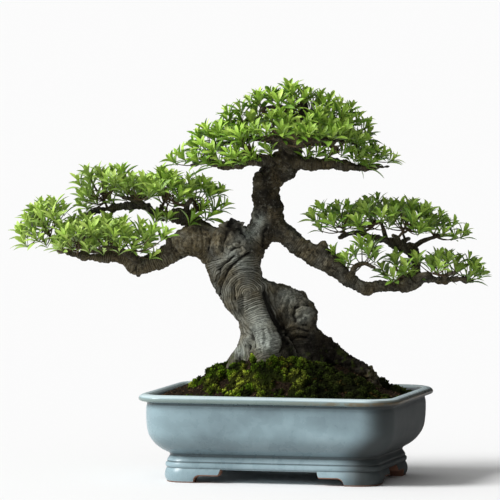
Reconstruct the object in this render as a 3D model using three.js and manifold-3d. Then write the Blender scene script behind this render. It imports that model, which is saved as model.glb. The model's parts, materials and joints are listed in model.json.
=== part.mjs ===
// A broad-leaved bonsai in a glazed, footed tray, in millimetres, with +Z up.
// The tray's long side runs along X and its front faces -Y. The tree is planned in a frame of its own:
// u to the right, v away from the viewer and z up, turned by TREE_TURN about the tray's upright axis.

import * as THREE from 'three';
import { mergeVertices } from 'three/addons/utils/BufferGeometryUtils.js';
import Module from 'manifold-3d';

const wasm = await Module();
wasm.setup();

// Tray
const POT_LENGTH = 360;
const POT_WIDTH = 274;
const RIM_CORNER = 40;
const CORNER_TIGHTENING = 0.35;
const FOOT_HEIGHT = 19;
const FOOT_BLOCK = 43;
const FOOT_SPAN = 77;
const FOOT_STEP_HEIGHT = 9.5;
const FOOT_HEEL = 4;
const FLOOR_TOP = 28;
const DRAIN_OFFSET = 75;
const DRAIN_RADIUS = 11;

// Drainage
const SCREEN_SIZE = 38;
const SCREEN_THICKNESS = 1;
const SCREEN_HOLES = 4;
const SCREEN_PITCH = 8.5;
const SCREEN_HOLE = 5.5;
const WIRE_RADIUS = 0.8;
const CLIP_BEND = 2.5;
const CLIP_TOE = 14;
const GRIT_TOP = 45;

// Soil and moss
const SOIL_EDGE = 108;
const SOIL_CLUMP = 1.6;
const MOUND_RISE = 54;
const MOUND_CENTRE = 12;
const MOUND_HALF_LENGTH = 166;
const MOUND_HALF_WIDTH = 126;
const MOUND_FLAT = 0.25;
const MOUND_FOOT = 1.1;
const MOSS_THICKNESS = 6;
const MOSS_EDGE = 1;
const MOSS_SWELL = 0.35;

// Tree
const TREE_TURN = THREE.MathUtils.degToRad(13);
const WHORL_RADIUS = 16;
const WHORL_VARIATION = 0.1;
const WHORL_LEAVES = 4;
const LEAF_BASE = 0.24;
const LEAF_LIFT = 0.4;
const LEAF_THICKNESS = 2.5;
const RING_WHORLS = 4;
const RING_RADIUS = 24;
const RING_RADIUS_VARIATION = 0.18;
const RING_TURN_VARIATION = 0.25;
const RING_DROP = 9;
const RING_DROP_VARIATION = 4;
const RING_SPREAD = 0.6;
const RING_LIFT = 0.3;
const HUB_DEPTH = 20;
const HUB_RADIUS = 3;
const BRANCHLET_RADIUS = 1.6;
const BRANCHLET_SAG = 0.08;
const TIP_TAPER = 0.5;

// Gap left between pieces that touch on the real object.
// A grown shape's sharp points move by more than its sides do.
const GAP = 0.3;
const LIMB_TIP_GROWTH = 1.5;
const LEAF_TIP_GROWTH = 2.5;
const LEAF_FACE_GROWTH = 2;

const UP = new THREE.Vector3(0, 0, 1);
const NEAR_UPRIGHT = 0.9;

// The tray's section as [height, inset from the rim's outline]:
// up the outside, over the lip and down the inside
const POT_OUTSIDE = [
  [19, 37], [22, 32], [28, 30], [33, 33], [35, 38], [40, 35], [50, 23], [62, 14.5], [78, 10], [98, 9],
  [104, 10], [107, 5], [109, 1], [113, 0], [116, 2], [117, 6],
];
const POT_INSIDE = [[116, 12], [112, 16], [100, 20], [62, 25], [45, 38], [FLOOR_TOP, 52]];

// Section of the feet, as [height, inset]
const FOOT_OUTSIDE = [[0, 34], [3, 31], [9, 29], [15, 29.5], [20, 34]];
const FOOT_INSIDE = [[-1, 50], [21, 52]];

// Rotted hollow in the stump's end, as [u, v, z, radius] from the stump's last point
const STUMP_HOLLOW = [1, -3, 9, 9];

// Limbs as [u, v, z, radius], each starting inside the limb that carries it
const LIMBS = {
  column: [
    [-29, -25, 127, 30], [-29, -22, 153, 30], [-30, -20, 174, 29], [-34, -16, 198, 28], [-40, -12, 225, 28],
    [-56, -8, 252, 32], [-69, -4, 277, 34], [-74, 0, 300, 34], [-78, 2, 317, 30],
  ],
  knee: [
    [-55, 4, 260, 27], [-27, 8, 240, 26], [2, 10, 227, 31],
    [17, 8, 209, 29], [19, 4, 185, 27], [22, 0, 140, 30],
  ],
  right_root: [
    [26, 5, 196, 16], [48, 8, 178, 14], [72, 10, 161, 12],
    [94, 12, 148, 10], [112, 12, 140, 8], [120, 12, 122, 7],
  ],
  left_root: [[-48, -8, 187, 14], [-58, -14, 174, 9], [-67, -18, 165, 8], [-80, -20, 140, 6]],
  front_toe: [[-37, -30, 196, 18], [-32, -42, 174, 17], [-27, -50, 153, 13], [-24, -54, 130, 8]],
  right_toe: [[-19, -25, 188, 16], [-5, -34, 173, 15], [6, -38, 155, 12], [14, -40, 130, 8]],
  back_left_root: [[-34, -6, 194, 20], [-46, 24, 174, 19], [-62, 48, 151, 14], [-81, 68, 124, 8]],
  back_right_root: [[12, 2, 194, 20], [14, 26, 174, 19], [33, 48, 151, 14], [60, 66, 122, 8]],
  stump: [[-66, -14, 312, 16], [-70, -18, 330, 15], [-73, -20, 344, 14]],
  neck: [
    [-62, 0, 308, 26], [-48, 2, 320, 20], [-34, 3, 334, 20], [-24, 4, 350, 20], [-21, 4, 369, 20],
    [-23, 3, 389, 18], [-20, 2, 406, 16], [-12, 2, 419, 15], [0, 1, 435, 14], [10, 0, 451, 12],
    [17, 0, 468, 9], [21, -2, 487, 7], [23, -2, 504, 5],
  ],
  neck_knot: [[-28, -3, 384, 10], [-38, -8, 399, 9], [-40, -8, 409, 6]],

  left_branch: [
    [-73, 0, 305, 30], [-91, -2, 314, 27], [-109, -4, 321, 24], [-135, -6, 318, 20], [-154, -8, 306, 14],
    [-177, -10, 294, 12], [-197, -12, 289, 11], [-221, -15, 299, 8], [-251, -18, 299, 5.5],
    [-278, -20, 302, 4.5], [-307, -20, 310, 3],
  ],
  left_knot: [[-194, -12, 291, 7], [-201, -12, 274, 3]],
  left_front: [[-197, -12, 289, 7], [-210, -34, 303, 5], [-229, -52, 313, 3.5], [-251, -62, 315, 2.4]],
  left_back: [[-221, -15, 299, 6], [-237, 4, 305, 4.5], [-259, 24, 305, 3.2], [-280, 38, 304, 2.2]],
  left_near: [[-163, -9, 299, 7], [-159, -30, 314, 5], [-159, -46, 326, 3.5], [-170, -58, 333, 2.5]],

  upper_left: [
    [-110, 6, 326, 12], [-121, 12, 342, 9], [-136, 16, 354, 7], [-156, 18, 356, 6], [-177, 20, 356, 5.5],
    [-193, 22, 367, 5], [-213, 24, 369, 4.5], [-243, 26, 364, 3.5], [-263, 26, 354, 2.5],
  ],
  upper_back: [[-177, 20, 356, 4.5], [-170, 42, 363, 3.5], [-172, 62, 365, 2.4]],
  upper_front: [[-193, 22, 367, 4.5], [-205, 2, 376, 3.5], [-221, -14, 380, 2.4]],
  upper_near: [[-136, 16, 354, 5.5], [-135, 0, 368, 4], [-129, -14, 377, 3]],
  upper_near_back: [[-136, 16, 354, 5], [-121, 34, 363, 4], [-110, 50, 367, 2.6]],

  right_branch: [
    [-24, 2, 340, 18], [-8, 2, 334, 15], [6, 0, 326, 13.5], [33, -3, 307, 14], [60, -6, 288, 13.5],
    [80, -8, 272, 10.5], [103, -9, 259, 9], [125, -8, 260, 7.5], [147, -6, 260, 8], [170, -4, 266, 10],
    [188, -2, 272, 6], [208, 0, 267, 4.5], [228, 0, 270, 3.5], [251, 0, 267, 2.5],
  ],
  right_knot: [[49, -4, 304, 8], [48, -4, 317, 5]],
  low_twig: [[87, -10, 270, 5], [91, -16, 285, 4], [103, -20, 292, 3], [119, -24, 286, 2.2]],
  low_front: [[170, -6, 267, 6], [179, -26, 275, 4.5], [189, -42, 280, 2.6]],
  low_back: [[147, -4, 261, 5], [152, 22, 268, 4], [160, 42, 271, 2.6]],
  low_tip: [[208, 0, 267, 4], [216, -16, 276, 3], [227, -28, 281, 2]],

  riser: [
    [168, 0, 267, 8], [174, 6, 283, 6.5], [174, 10, 296, 6], [166, 14, 308, 5.5], [152, 16, 314, 5],
    [134, 18, 321, 4.5], [111, 18, 326, 4], [89, 18, 331, 3.2], [71, 18, 325, 2.2],
  ],
  riser_top: [[134, 18, 321, 4], [131, 16, 333, 3], [127, 14, 345, 2.2]],
  riser_side: [[166, 14, 308, 4], [181, 12, 319, 3.5], [200, 10, 326, 2.5], [216, 10, 329, 2]],
  riser_front: [[152, 16, 314, 4.5], [149, -8, 325, 3.5], [143, -28, 330, 2.4]],
  riser_back: [[152, 16, 314, 4.5], [160, 40, 320, 3.5], [165, 58, 321, 2.4]],
  riser_tip: [[111, 18, 326, 3.5], [100, -4, 333, 2.8], [89, -22, 332, 2]],

  crown_right: [
    [6, 0, 430, 10], [22, -8, 428, 7], [41, -12, 427, 6.5], [62, -14, 428, 5.5], [87, -14, 423, 4],
    [114, -12, 421, 3], [137, -10, 422, 2],
  ],
  crown_left: [
    [-5, 0, 422, 9], [-21, -8, 431, 6], [-37, -14, 432, 5], [-59, -18, 429, 4.5], [-83, -20, 424, 3.5],
    [-108, -20, 428, 2.8], [-129, -20, 424, 2],
  ],
  tier_right: [[15, 0, 464, 7], [33, 6, 461, 5.5], [54, 10, 459, 4.5], [79, 12, 456, 3], [98, 14, 450, 2]],
  tier_left: [
    [6, 2, 444, 7], [-13, 8, 454, 5.5], [-37, 12, 459, 4.5], [-64, 16, 456, 3.2], [-89, 18, 450, 2.2],
  ],
  crown_front: [[6, -8, 442, 7], [0, -28, 452, 5.5], [-8, -50, 460, 4], [-16, -72, 462, 2.5]],
  crown_front_right: [[14, -6, 450, 6], [30, -26, 457, 5], [49, -46, 459, 3.6], [65, -62, 456, 2.4]],
  crown_back: [[3, 8, 436, 7], [-2, 30, 443, 5.5], [-13, 54, 446, 4], [-24, 76, 441, 2.5]],
  crown_back_right: [[14, 8, 450, 6], [33, 28, 452, 5], [52, 48, 450, 3.6], [68, 66, 442, 2.4]],
  top_left: [[18, 0, 482, 5], [3, -6, 496, 4], [-16, -10, 502, 3], [-35, -14, 500, 2]],
  top_right: [[21, 0, 487, 4.5], [35, 6, 495, 3.5], [52, 10, 494, 2.5]],
};

// Limbs that start at least this thick get more sides
const THICK_LIMB = 12;
const THICK_SIDES = 8;
const THIN_SIDES = 4;

// Foliage pads: the point that their shoots grow away from, the limbs that feed them,
// and the top of each spray
const PADS = [
  {
    name: 'crown', focus: [0, 0, 400],
    limbs: [
      'neck', 'crown_right', 'crown_left', 'tier_right', 'tier_left', 'crown_front', 'crown_front_right',
      'crown_back', 'crown_back_right', 'top_left', 'top_right',
    ],
    sprays: [
      [3, 0, 529], [-37, -5, 517], [44, 5, 514], [-78, 0, 482],
      [80, 0, 486], [-124, -10, 451], [114, -5, 452],
      [-21, -48, 492], [44, -48, 487], [-64, -52, 465], [19, -78, 465], [84, -45, 462],
      [-15, 48, 486], [44, 50, 482], [-62, 48, 455], [87, 46, 452], [8, 82, 446],
    ],
  },
  {
    name: 'lower_left', focus: [-245, -10, 260],
    limbs: ['left_branch', 'left_front', 'left_back', 'left_near'],
    sprays: [
      [-334, -15, 358], [-289, 12, 353], [-289, -50, 340],
      [-244, 28, 345], [-240, -48, 340], [-194, -28, 344],
    ],
  },
  {
    name: 'upper_left', focus: [-186, 15, 315],
    limbs: ['upper_left', 'upper_back', 'upper_front', 'upper_near', 'upper_near_back'],
    sprays: [
      [-262, 15, 407], [-213, 38, 412], [-207, -15, 409],
      [-159, 46, 400], [-154, -8, 400], [-109, 20, 390],
    ],
  },
  {
    name: 'upper_right', focus: [140, 12, 270],
    limbs: ['riser', 'riser_top', 'riser_side', 'riser_front', 'riser_back', 'riser_tip'],
    sprays: [
      [60, 10, 356], [108, 34, 366], [116, -18, 364], [157, 48, 363], [168, -10, 366], [213, 14, 345],
    ],
  },
  {
    name: 'lower_right', focus: [170, 0, 190],
    limbs: ['right_branch', 'low_twig', 'low_front', 'low_back', 'low_tip'],
    sprays: [[89, -24, 308], [146, -12, 296], [206, -28, 300], [214, 28, 292], [256, 2, 288]],
  },
];

// Moss cushions as [first column, last column, first row, last row] of the grid over the soil
const MOSS_PATCHES = {
  moss_left: [12, 17, 1, 5],
  moss_front_left: [17, 22, 1, 5],
  moss_front: [22, 26, 0, 5],
  moss_right: [26, 32, 0, 5],
  moss_back_right: [32, 38, 0, 5],
  moss_back: [4, 12, 0, 5],
};
const MOSS_SEAM = 0.04;

// Heights of the soil's side, and its top's rows as shares of the way out to the wall
const SOIL_LEVELS = [GRIT_TOP + GAP, 62, 100];
const SOIL_ROWS = [1, 0.85, 0.69, 0.53, 0.37, 0.2];

// Steps along the sides of the soil's outline, and round the corner of every outline
const LONG_SIDE_STEPS = 5;
const SHORT_SIDE_STEPS = 4;
const CORNER_STEPS = 4;

const glaze = new THREE.MeshStandardMaterial({ color: 0x839fa6, roughness: 0.22, metalness: 0 });
const plasticMesh = new THREE.MeshStandardMaterial({ color: 0x22241f, roughness: 0.7, metalness: 0 });
const aluminiumWire = new THREE.MeshStandardMaterial({ color: 0x8a6f55, roughness: 0.45, metalness: 0.9 });
const gritStone = new THREE.MeshStandardMaterial({ color: 0x8d7a62, roughness: 0.95, metalness: 0 });
const soilEarth = new THREE.MeshStandardMaterial({ color: 0x3a2e24, roughness: 1, metalness: 0 });
const mossGreen = new THREE.MeshStandardMaterial({ color: 0x52701f, roughness: 1, metalness: 0 });
const bark = new THREE.MeshStandardMaterial({ color: 0x67665c, roughness: 0.85, metalness: 0 });
const leafGreen = new THREE.MeshStandardMaterial({ color: 0x6f9a35, roughness: 0.5, metalness: 0 });

// Repeatable value between -1 and 1
function jitter(seed) {
  const value = Math.sin(seed * 12.9898 + 78.233) * 43758.5453;
  return 2 * (value - Math.floor(value)) - 1;
}

// A closed geometry as a solid that can be joined and cut
function solidOf(geometry) {
  const bare = geometry.clone();
  bare.deleteAttribute('normal');
  bare.deleteAttribute('uv');
  const merged = mergeVertices(bare, 1e-4);
  return new wasm.Manifold(new wasm.Mesh({
    numProp: 3,
    vertProperties: merged.attributes.position.array,
    triVerts: new Uint32Array(merged.index.array),
  }));
}

function geometryOf(solid) {
  const mesh = solid.getMesh();
  const geometry = new THREE.BufferGeometry();
  geometry.setAttribute('position', new THREE.BufferAttribute(new Float32Array(mesh.vertProperties), 3));
  geometry.setIndex(new THREE.BufferAttribute(new Uint32Array(mesh.triVerts), 1));
  geometry.computeVertexNormals();
  return geometry;
}

function joined(solids) {
  return solids.reduce((whole, solid) => whole.add(solid));
}

function largestBody(solid) {
  return solid.decompose().reduce((best, body) => (body.volume() > best.volume() ? body : best));
}

function piece(name, solid, material) {
  const mesh = new THREE.Mesh(geometryOf(solid), material);
  mesh.name = name;
  return mesh;
}

function solidFrom(points, faces) {
  const geometry = new THREE.BufferGeometry();
  geometry.setAttribute('position', new THREE.Float32BufferAttribute(points.flat(), 3));
  geometry.setIndex(faces.flat());
  return solidOf(geometry);
}

// Joins rings of equal length, each anticlockwise about the way that they follow, with a cap at each end.
// A cap's middle point lies at the ring's centre, or where it is given.
function loft(rings, firstCentre = centreOf(rings[0]), lastCentre = centreOf(rings[rings.length - 1])) {
  const count = rings[0].length;
  const faces = [];
  for (let row = 0; row < rings.length - 1; row += 1) {
    for (let column = 0; column < count; column += 1) {
      const next = (column + 1) % count;
      const a = row * count + column;
      const b = row * count + next;
      faces.push([a, b, b + count], [a, b + count, a + count]);
    }
  }
  const points = [...rings.flat(), firstCentre, lastCentre];
  const first = rings.length * count;
  for (let column = 0; column < count; column += 1) {
    const next = (column + 1) % count;
    faces.push([first, next, column]);
    faces.push([first + 1, first - count + column, first - count + next]);
  }
  return solidFrom(points, faces);
}

function between(from, to, share) {
  return from.map((value, axis) => THREE.MathUtils.lerp(value, to[axis], share));
}

function centreOf(ring) {
  return [0, 1, 2].map((axis) => ring.reduce((sum, point) => sum + point[axis], 0) / ring.length);
}

// Rounded rectangle inside the rim's outline, anticlockwise from the right end of the back right corner
function outline(inset, height, longSteps = 1, shortSteps = 1) {
  const radius = RIM_CORNER - CORNER_TIGHTENING * inset;
  const x = POT_LENGTH / 2 - inset - radius;
  const y = POT_WIDTH / 2 - inset - radius;
  const centres = [[x, y], [-x, y], [-x, -y], [x, -y]];
  const ring = [];
  centres.forEach(([cx, cy], corner) => {
    for (let step = 0; step <= CORNER_STEPS; step += 1) {
      const angle = (corner + step / CORNER_STEPS) * Math.PI / 2;
      ring.push([cx + radius * Math.cos(angle), cy + radius * Math.sin(angle), height]);
    }
    const sideSteps = corner % 2 === 0 ? longSteps : shortSteps;
    const [nextX, nextY] = centres[(corner + 1) % 4];
    const nextAngle = (corner + 1) * Math.PI / 2;
    const start = ring[ring.length - 1];
    const end = [nextX + radius * Math.cos(nextAngle), nextY + radius * Math.sin(nextAngle)];
    for (let step = 1; step < sideSteps; step += 1) {
      const along = step / sideSteps;
      ring.push([
        THREE.MathUtils.lerp(start[0], end[0], along),
        THREE.MathUtils.lerp(start[1], end[1], along),
        height,
      ]);
    }
  });
  return ring;
}

// Inset of the tray's inner wall at a height
function wallInset(height) {
  for (let row = 0; row < POT_INSIDE.length - 1; row += 1) {
    const [upper, upperInset] = POT_INSIDE[row];
    const [lower, lowerInset] = POT_INSIDE[row + 1];
    if (height >= lower) return THREE.MathUtils.mapLinear(height, lower, upper, lowerInset, upperInset);
  }
  return POT_INSIDE[POT_INSIDE.length - 1][1];
}

// One half of the opening under the tray's edge, seen square on, from the middle to the foot
function underEdgeShape(halfSide) {
  const widest = Math.min(...FOOT_OUTSIDE.map(([, inset]) => inset));
  const block = halfSide - widest - FOOT_BLOCK;
  const step = halfSide - widest - FOOT_SPAN;
  const shape = new THREE.Shape();
  shape.moveTo(0, -1);
  shape.lineTo(block, -1);
  shape.lineTo(block, 0);
  shape.quadraticCurveTo(block, FOOT_STEP_HEIGHT, block - FOOT_STEP_HEIGHT, FOOT_STEP_HEIGHT);
  shape.lineTo(step, FOOT_STEP_HEIGHT);
  shape.quadraticCurveTo(step - FOOT_HEEL, FOOT_STEP_HEIGHT, step - FOOT_HEEL, FOOT_HEIGHT);
  shape.lineTo(0, FOOT_HEIGHT);
  return shape;
}

// The opening under a pair of opposite edges, cut right through the ring of feet
function underEdge(halfSide, length) {
  const shape = underEdgeShape(halfSide);
  const half = new THREE.ExtrudeGeometry(shape, { depth: length, bevelEnabled: false, curveSegments: 4 });
  half.translate(0, 0, -length / 2);
  half.rotateX(Math.PI / 2);
  const right = solidOf(half);
  const left = solidOf(half.clone().rotateZ(Math.PI));
  return right.add(left);
}

function turned(solid, angle) {
  return solidOf(geometryOf(solid).rotateZ(angle));
}

function makePot() {
  const body = loft([...POT_OUTSIDE, ...POT_INSIDE].map(([height, inset]) => outline(inset, height)));
  const skirt = loft(FOOT_OUTSIDE.map(([height, inset]) => outline(inset, height)));
  const inside = loft(FOOT_INSIDE.map(([height, inset]) => outline(inset, height)));
  const feet = skirt
    .subtract(inside)
    .subtract(underEdge(POT_LENGTH / 2, POT_WIDTH))
    .subtract(turned(underEdge(POT_WIDTH / 2, POT_LENGTH), Math.PI / 2));
  const drain = new THREE.CylinderGeometry(DRAIN_RADIUS, DRAIN_RADIUS, 2 * FLOOR_TOP, 24);
  const upright = drain.rotateX(Math.PI / 2).translate(0, 0, FLOOR_TOP);
  const drains = [-1, 1].map((side) => solidOf(upright.clone().translate(side * DRAIN_OFFSET, 0, 0)));
  return body.add(feet).subtract(joined(drains));
}

// A square of plastic mesh
function makeScreen(side) {
  const plate = solidOf(new THREE.BoxGeometry(SCREEN_SIZE, SCREEN_SIZE, SCREEN_THICKNESS));
  const hole = new THREE.BoxGeometry(SCREEN_HOLE, SCREEN_HOLE, 3 * SCREEN_THICKNESS);
  const first = -SCREEN_PITCH * (SCREEN_HOLES - 1) / 2;
  const holes = [];
  for (let column = 0; column < SCREEN_HOLES; column += 1) {
    for (let row = 0; row < SCREEN_HOLES; row += 1) {
      const x = first + column * SCREEN_PITCH;
      const y = first + row * SCREEN_PITCH;
      holes.push(solidOf(hole.clone().translate(x, y, 0)));
    }
  }
  const mesh = geometryOf(plate.subtract(joined(holes)));
  return solidOf(mesh.translate(side * DRAIN_OFFSET, 0, FLOOR_TOP + GAP + SCREEN_THICKNESS / 2));
}

// Wire over the screen, down through two of its holes and out under the floor
function makeClip(side) {
  const leg = SCREEN_PITCH / 2;
  const top = FLOOR_TOP + SCREEN_THICKNESS + 2 * GAP + WIRE_RADIUS;
  const bottom = FOOT_HEIGHT - GAP - WIRE_RADIUS;
  const rightHalf = [
    [leg - CLIP_BEND, top], [leg, top - CLIP_BEND], [leg, bottom + CLIP_BEND],
    [leg + CLIP_BEND, bottom], [leg + CLIP_TOE, bottom],
  ];
  const leftHalf = rightHalf.map(([x, z]) => [-x, z]).reverse();
  const route = [...leftHalf, ...rightHalf].map(([x, z]) => new THREE.Vector3(x, leg, z));
  const path = new THREE.CatmullRomCurve3(route, false, 'catmullrom', 0.15);
  const section = new THREE.Shape().absarc(0, 0, WIRE_RADIUS, 0, 2 * Math.PI);
  const wire = new THREE.ExtrudeGeometry(section, { steps: 18, extrudePath: path, curveSegments: 3 });
  return solidOf(wire.translate(side * DRAIN_OFFSET, 0, 0));
}

function makeGrit() {
  const levels = [FLOOR_TOP + GAP, (FLOOR_TOP + GRIT_TOP) / 2, GRIT_TOP];
  const layer = loft(levels.map((height) => outline(wallInset(height) + 2 * GAP, height)));
  const pocket = SCREEN_SIZE + 4 * GAP;
  const depth = SCREEN_THICKNESS + 2 * WIRE_RADIUS + 5 * GAP;
  const box = new THREE.BoxGeometry(pocket, pocket, 2 * depth);
  const pockets = [-1, 1].map((side) => solidOf(box.clone().translate(side * DRAIN_OFFSET, 0, FLOOR_TOP)));
  return layer.subtract(joined(pockets));
}

function moundHeight(x, y) {
  const u = x * Math.cos(TREE_TURN) + y * Math.sin(TREE_TURN);
  const v = y * Math.cos(TREE_TURN) - x * Math.sin(TREE_TURN);
  const out = Math.hypot((u - MOUND_CENTRE) / MOUND_HALF_LENGTH, v / MOUND_HALF_WIDTH);
  return SOIL_EDGE + MOUND_RISE * (1 - THREE.MathUtils.smoothstep(out, MOUND_FLAT, MOUND_FOOT));
}

// Rows of points on the soil's top, from the wall inwards
function soilTopRows() {
  const edge = outline(wallInset(SOIL_EDGE) + 3 * GAP, 0, LONG_SIDE_STEPS, SHORT_SIDE_STEPS);
  const middle = MOUND_CENTRE * Math.cos(TREE_TURN);
  return SOIL_ROWS.map((share, row) => edge.map(([x, y], column) => {
    const px = THREE.MathUtils.lerp(middle, x, share);
    const py = y * share;
    const clump = row === 0 ? 0 : SOIL_CLUMP * jitter(row * edge.length + column);
    return [px, py, moundHeight(px, py) + clump];
  }));
}

function makeSoil(topRows) {
  const side = SOIL_LEVELS.map((height) => {
    const inset = wallInset(height) + 2 * GAP;
    return outline(inset, height, LONG_SIDE_STEPS, SHORT_SIDE_STEPS);
  });
  return loft([...side, ...topRows]);
}

// A cushion on part of the soil's grid, thin along its edges
function makeMoss(name, topRows) {
  const [firstColumn, lastColumn, firstRow, lastRow] = MOSS_PATCHES[name];
  const count = topRows[0].length;
  const rows = lastRow - firstRow + 1;
  const columns = lastColumn - firstColumn + 1;
  const bottom = [];
  const top = [];
  for (let row = 0; row < rows; row += 1) {
    for (let column = 0; column < columns; column += 1) {
      const at = (step) => topRows[firstRow + row][(firstColumn + column + step) % count];
      const inward = column === 0 ? 1 : -1;
      const onSeam = column === 0 || column === columns - 1;
      const onEdge = onSeam || row === 0 || row === rows - 1;
      const [x, y, z] = onSeam ? between(at(0), at(inward), MOSS_SEAM) : at(0);
      const swell = 1 + MOSS_SWELL * jitter(row * count + column * 5 + firstColumn);
      bottom.push([x, y, z + GAP]);
      top.push([x, y, z + GAP + (onEdge ? MOSS_EDGE : MOSS_THICKNESS * swell)]);
    }
  }
  const faces = [];
  const lift = bottom.length;
  for (let row = 0; row < rows - 1; row += 1) {
    for (let column = 0; column < columns - 1; column += 1) {
      const a = row * columns + column;
      const b = a + 1;
      const c = b + columns;
      const d = a + columns;
      faces.push([a, c, b], [a, d, c], [a + lift, b + lift, c + lift], [a + lift, c + lift, d + lift]);
    }
  }
  const wall = (a, b) => faces.push([a, b, b + lift], [a, b + lift, a + lift]);
  for (let column = 0; column < columns - 1; column += 1) {
    wall(column, column + 1);
    wall((rows - 1) * columns + column + 1, (rows - 1) * columns + column);
  }
  for (let row = 0; row < rows - 1; row += 1) {
    wall((row + 1) * columns, row * columns);
    wall(row * columns + columns - 1, (row + 1) * columns + columns - 1);
  }
  return solidFrom([...bottom, ...top], faces);
}

// Smooth line through a limb's [u, v, z, radius] points
function curveOf(route) {
  const points = route.map(([u, v, z]) => new THREE.Vector3(u, v, z));
  return new THREE.CatmullRomCurve3(points, false, 'centripetal');
}

// Direction at right angles to a given one
function sideways(direction) {
  const other = Math.abs(direction.z) > NEAR_UPRIGHT ? new THREE.Vector3(0, 1, 0) : UP;
  return direction.clone().cross(other).normalize();
}

// A tapering round limb along [u, v, z, radius] points, pointed at its far end and grown by an extra radius
function makeLimb(route, sides, grow) {
  const curve = curveOf(route);
  const across = sideways(curve.getTangent(0));
  const rings = route.map(([, , , thickness], step) => {
    const share = step / (route.length - 1);
    const tangent = curve.getTangent(share);
    across.addScaledVector(tangent, -across.dot(tangent)).normalize();
    const third = tangent.clone().cross(across);
    return Array.from({ length: sides }, (_, side) => {
      const angle = 2 * Math.PI * side / sides;
      return curve.getPoint(share)
        .addScaledVector(across, (thickness + grow) * Math.cos(angle))
        .addScaledVector(third, (thickness + grow) * Math.sin(angle))
        .toArray();
    });
  });
  const reach = TIP_TAPER * route[route.length - 1][3] + LIMB_TIP_GROWTH * grow;
  const tip = curve.getPoint(1).addScaledVector(curve.getTangent(1), reach);
  return loft(rings, centreOf(rings[0]), tip.toArray());
}

function limbSolids(grow) {
  return Object.fromEntries(Object.entries(LIMBS).map(([name, route]) => {
    const sides = route[0][3] >= THICK_LIMB ? THICK_SIDES : THIN_SIDES;
    return [name, makeLimb(route, sides, grow)];
  }));
}

function makeHollow() {
  const end = LIMBS.stump[LIMBS.stump.length - 1];
  const place = [0, 1, 2].map((axis) => end[axis] + STUMP_HOLLOW[axis]);
  return solidOf(new THREE.SphereGeometry(STUMP_HOLLOW[3], 8, 6).translate(...place));
}

// Closest point to a place among the middles and ends of the limbs' spans
function nearestOnLimbs(names, place) {
  let best;
  let least = Infinity;
  names.forEach((name) => {
    const curve = curveOf(LIMBS[name]);
    const steps = 2 * (LIMBS[name].length - 1);
    for (let step = 1; step <= steps; step += 1) {
      const point = curve.getPoint(step / steps);
      const distance = point.distanceTo(place);
      if (distance < least) {
        least = distance;
        best = point;
      }
    }
  });
  return best;
}

// A whorl of pointed leaves, one mesh with the short twig that widens from the hub
function makeWhorl(hub, { place, axis, seed }, grow) {
  const size = WHORL_RADIUS * (1 + WHORL_VARIATION * jitter(seed + 3));
  const across = sideways(axis);
  const third = axis.clone().cross(across);
  const around = (radius, height, angle) => place.clone()
    .addScaledVector(across, radius * Math.cos(angle))
    .addScaledVector(third, radius * Math.sin(angle))
    .addScaledVector(axis, height)
    .toArray();
  const points = [hub.toArray(), around(0, LEAF_THICKNESS + LEAF_FACE_GROWTH * grow, 0)];
  const faces = [];
  for (let leaf = 0; leaf < WHORL_LEAVES; leaf += 1) {
    const angle = seed + 2 * Math.PI * leaf / WHORL_LEAVES;
    const here = 2 + 2 * leaf;
    const next = 2 + 2 * ((leaf + 1) % WHORL_LEAVES);
    points.push(
      around(LEAF_BASE * size + grow, -LEAF_FACE_GROWTH * grow, angle),
      around(size + LEAF_TIP_GROWTH * grow, LEAF_LIFT * size, angle + Math.PI / WHORL_LEAVES),
    );
    faces.push([0, next, here], [here, next, here + 1], [1, here, here + 1], [1, here + 1, next]);
  }
  return solidFrom(points, faces);
}

// Where a pad's sprays stand, each with the direction that it grows in
function sprayPlaces(pad) {
  return pad.sprays.map((place, index) => {
    const middle = new THREE.Vector3(...place);
    const outward = middle.clone().sub(new THREE.Vector3(...pad.focus)).normalize();
    return { middle, outward, seed: pad.focus[2] + 7 * index };
  });
}

// Whorls of one spray: one on top, the rest in a ring around and below it
function whorlPlaces({ seed, middle, outward }) {
  const across = outward.clone().cross(new THREE.Vector3(0, 1, 0)).normalize();
  const third = outward.clone().cross(across);
  const whorls = [{ place: middle.clone(), axis: outward.clone(), seed }];
  for (let index = 0; index < RING_WHORLS; index += 1) {
    const ringSeed = seed + 11 * (index + 1);
    const turn = (index + RING_TURN_VARIATION * jitter(ringSeed)) / RING_WHORLS;
    const angle = 2 * Math.PI * turn + seed;
    const radius = RING_RADIUS * (1 + RING_RADIUS_VARIATION * jitter(ringSeed + 1));
    const drop = RING_DROP - RING_DROP_VARIATION * jitter(ringSeed + 2);
    const side = across.clone().multiplyScalar(Math.cos(angle)).addScaledVector(third, Math.sin(angle));
    whorls.push({
      seed: ringSeed,
      place: middle.clone().addScaledVector(side, radius).addScaledVector(outward, -drop),
      axis: outward.clone().addScaledVector(side, RING_SPREAD).addScaledVector(UP, RING_LIFT).normalize(),
    });
  }
  return whorls;
}

// A young shoot: its branchlet off the limb, and a whorl of leaves on each twig from its hub
function makeSpray(pad, spray, grow) {
  const hub = spray.middle.clone().addScaledVector(spray.outward, -HUB_DEPTH);
  const root = nearestOnLimbs(pad.limbs, hub);
  const bend = root.clone().lerp(hub, 0.5).addScaledVector(UP, -BRANCHLET_SAG * root.distanceTo(hub));
  const route = [root, bend, hub].map((point) => [...point.toArray(), BRANCHLET_RADIUS]);
  const knot = new THREE.OctahedronGeometry(HUB_RADIUS + grow).translate(...hub.toArray());
  const whorls = whorlPlaces(spray).map((whorl) => makeWhorl(hub, whorl, grow));
  return joined([makeLimb(route, THIN_SIDES, grow), solidOf(knot), ...whorls]);
}

function boxesMeet(a, b) {
  const first = a.boundingBox();
  const second = b.boundingBox();
  const meets = (axis) => first.min[axis] < second.max[axis] && second.min[axis] < first.max[axis];
  return [0, 1, 2].every(meets);
}

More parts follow.
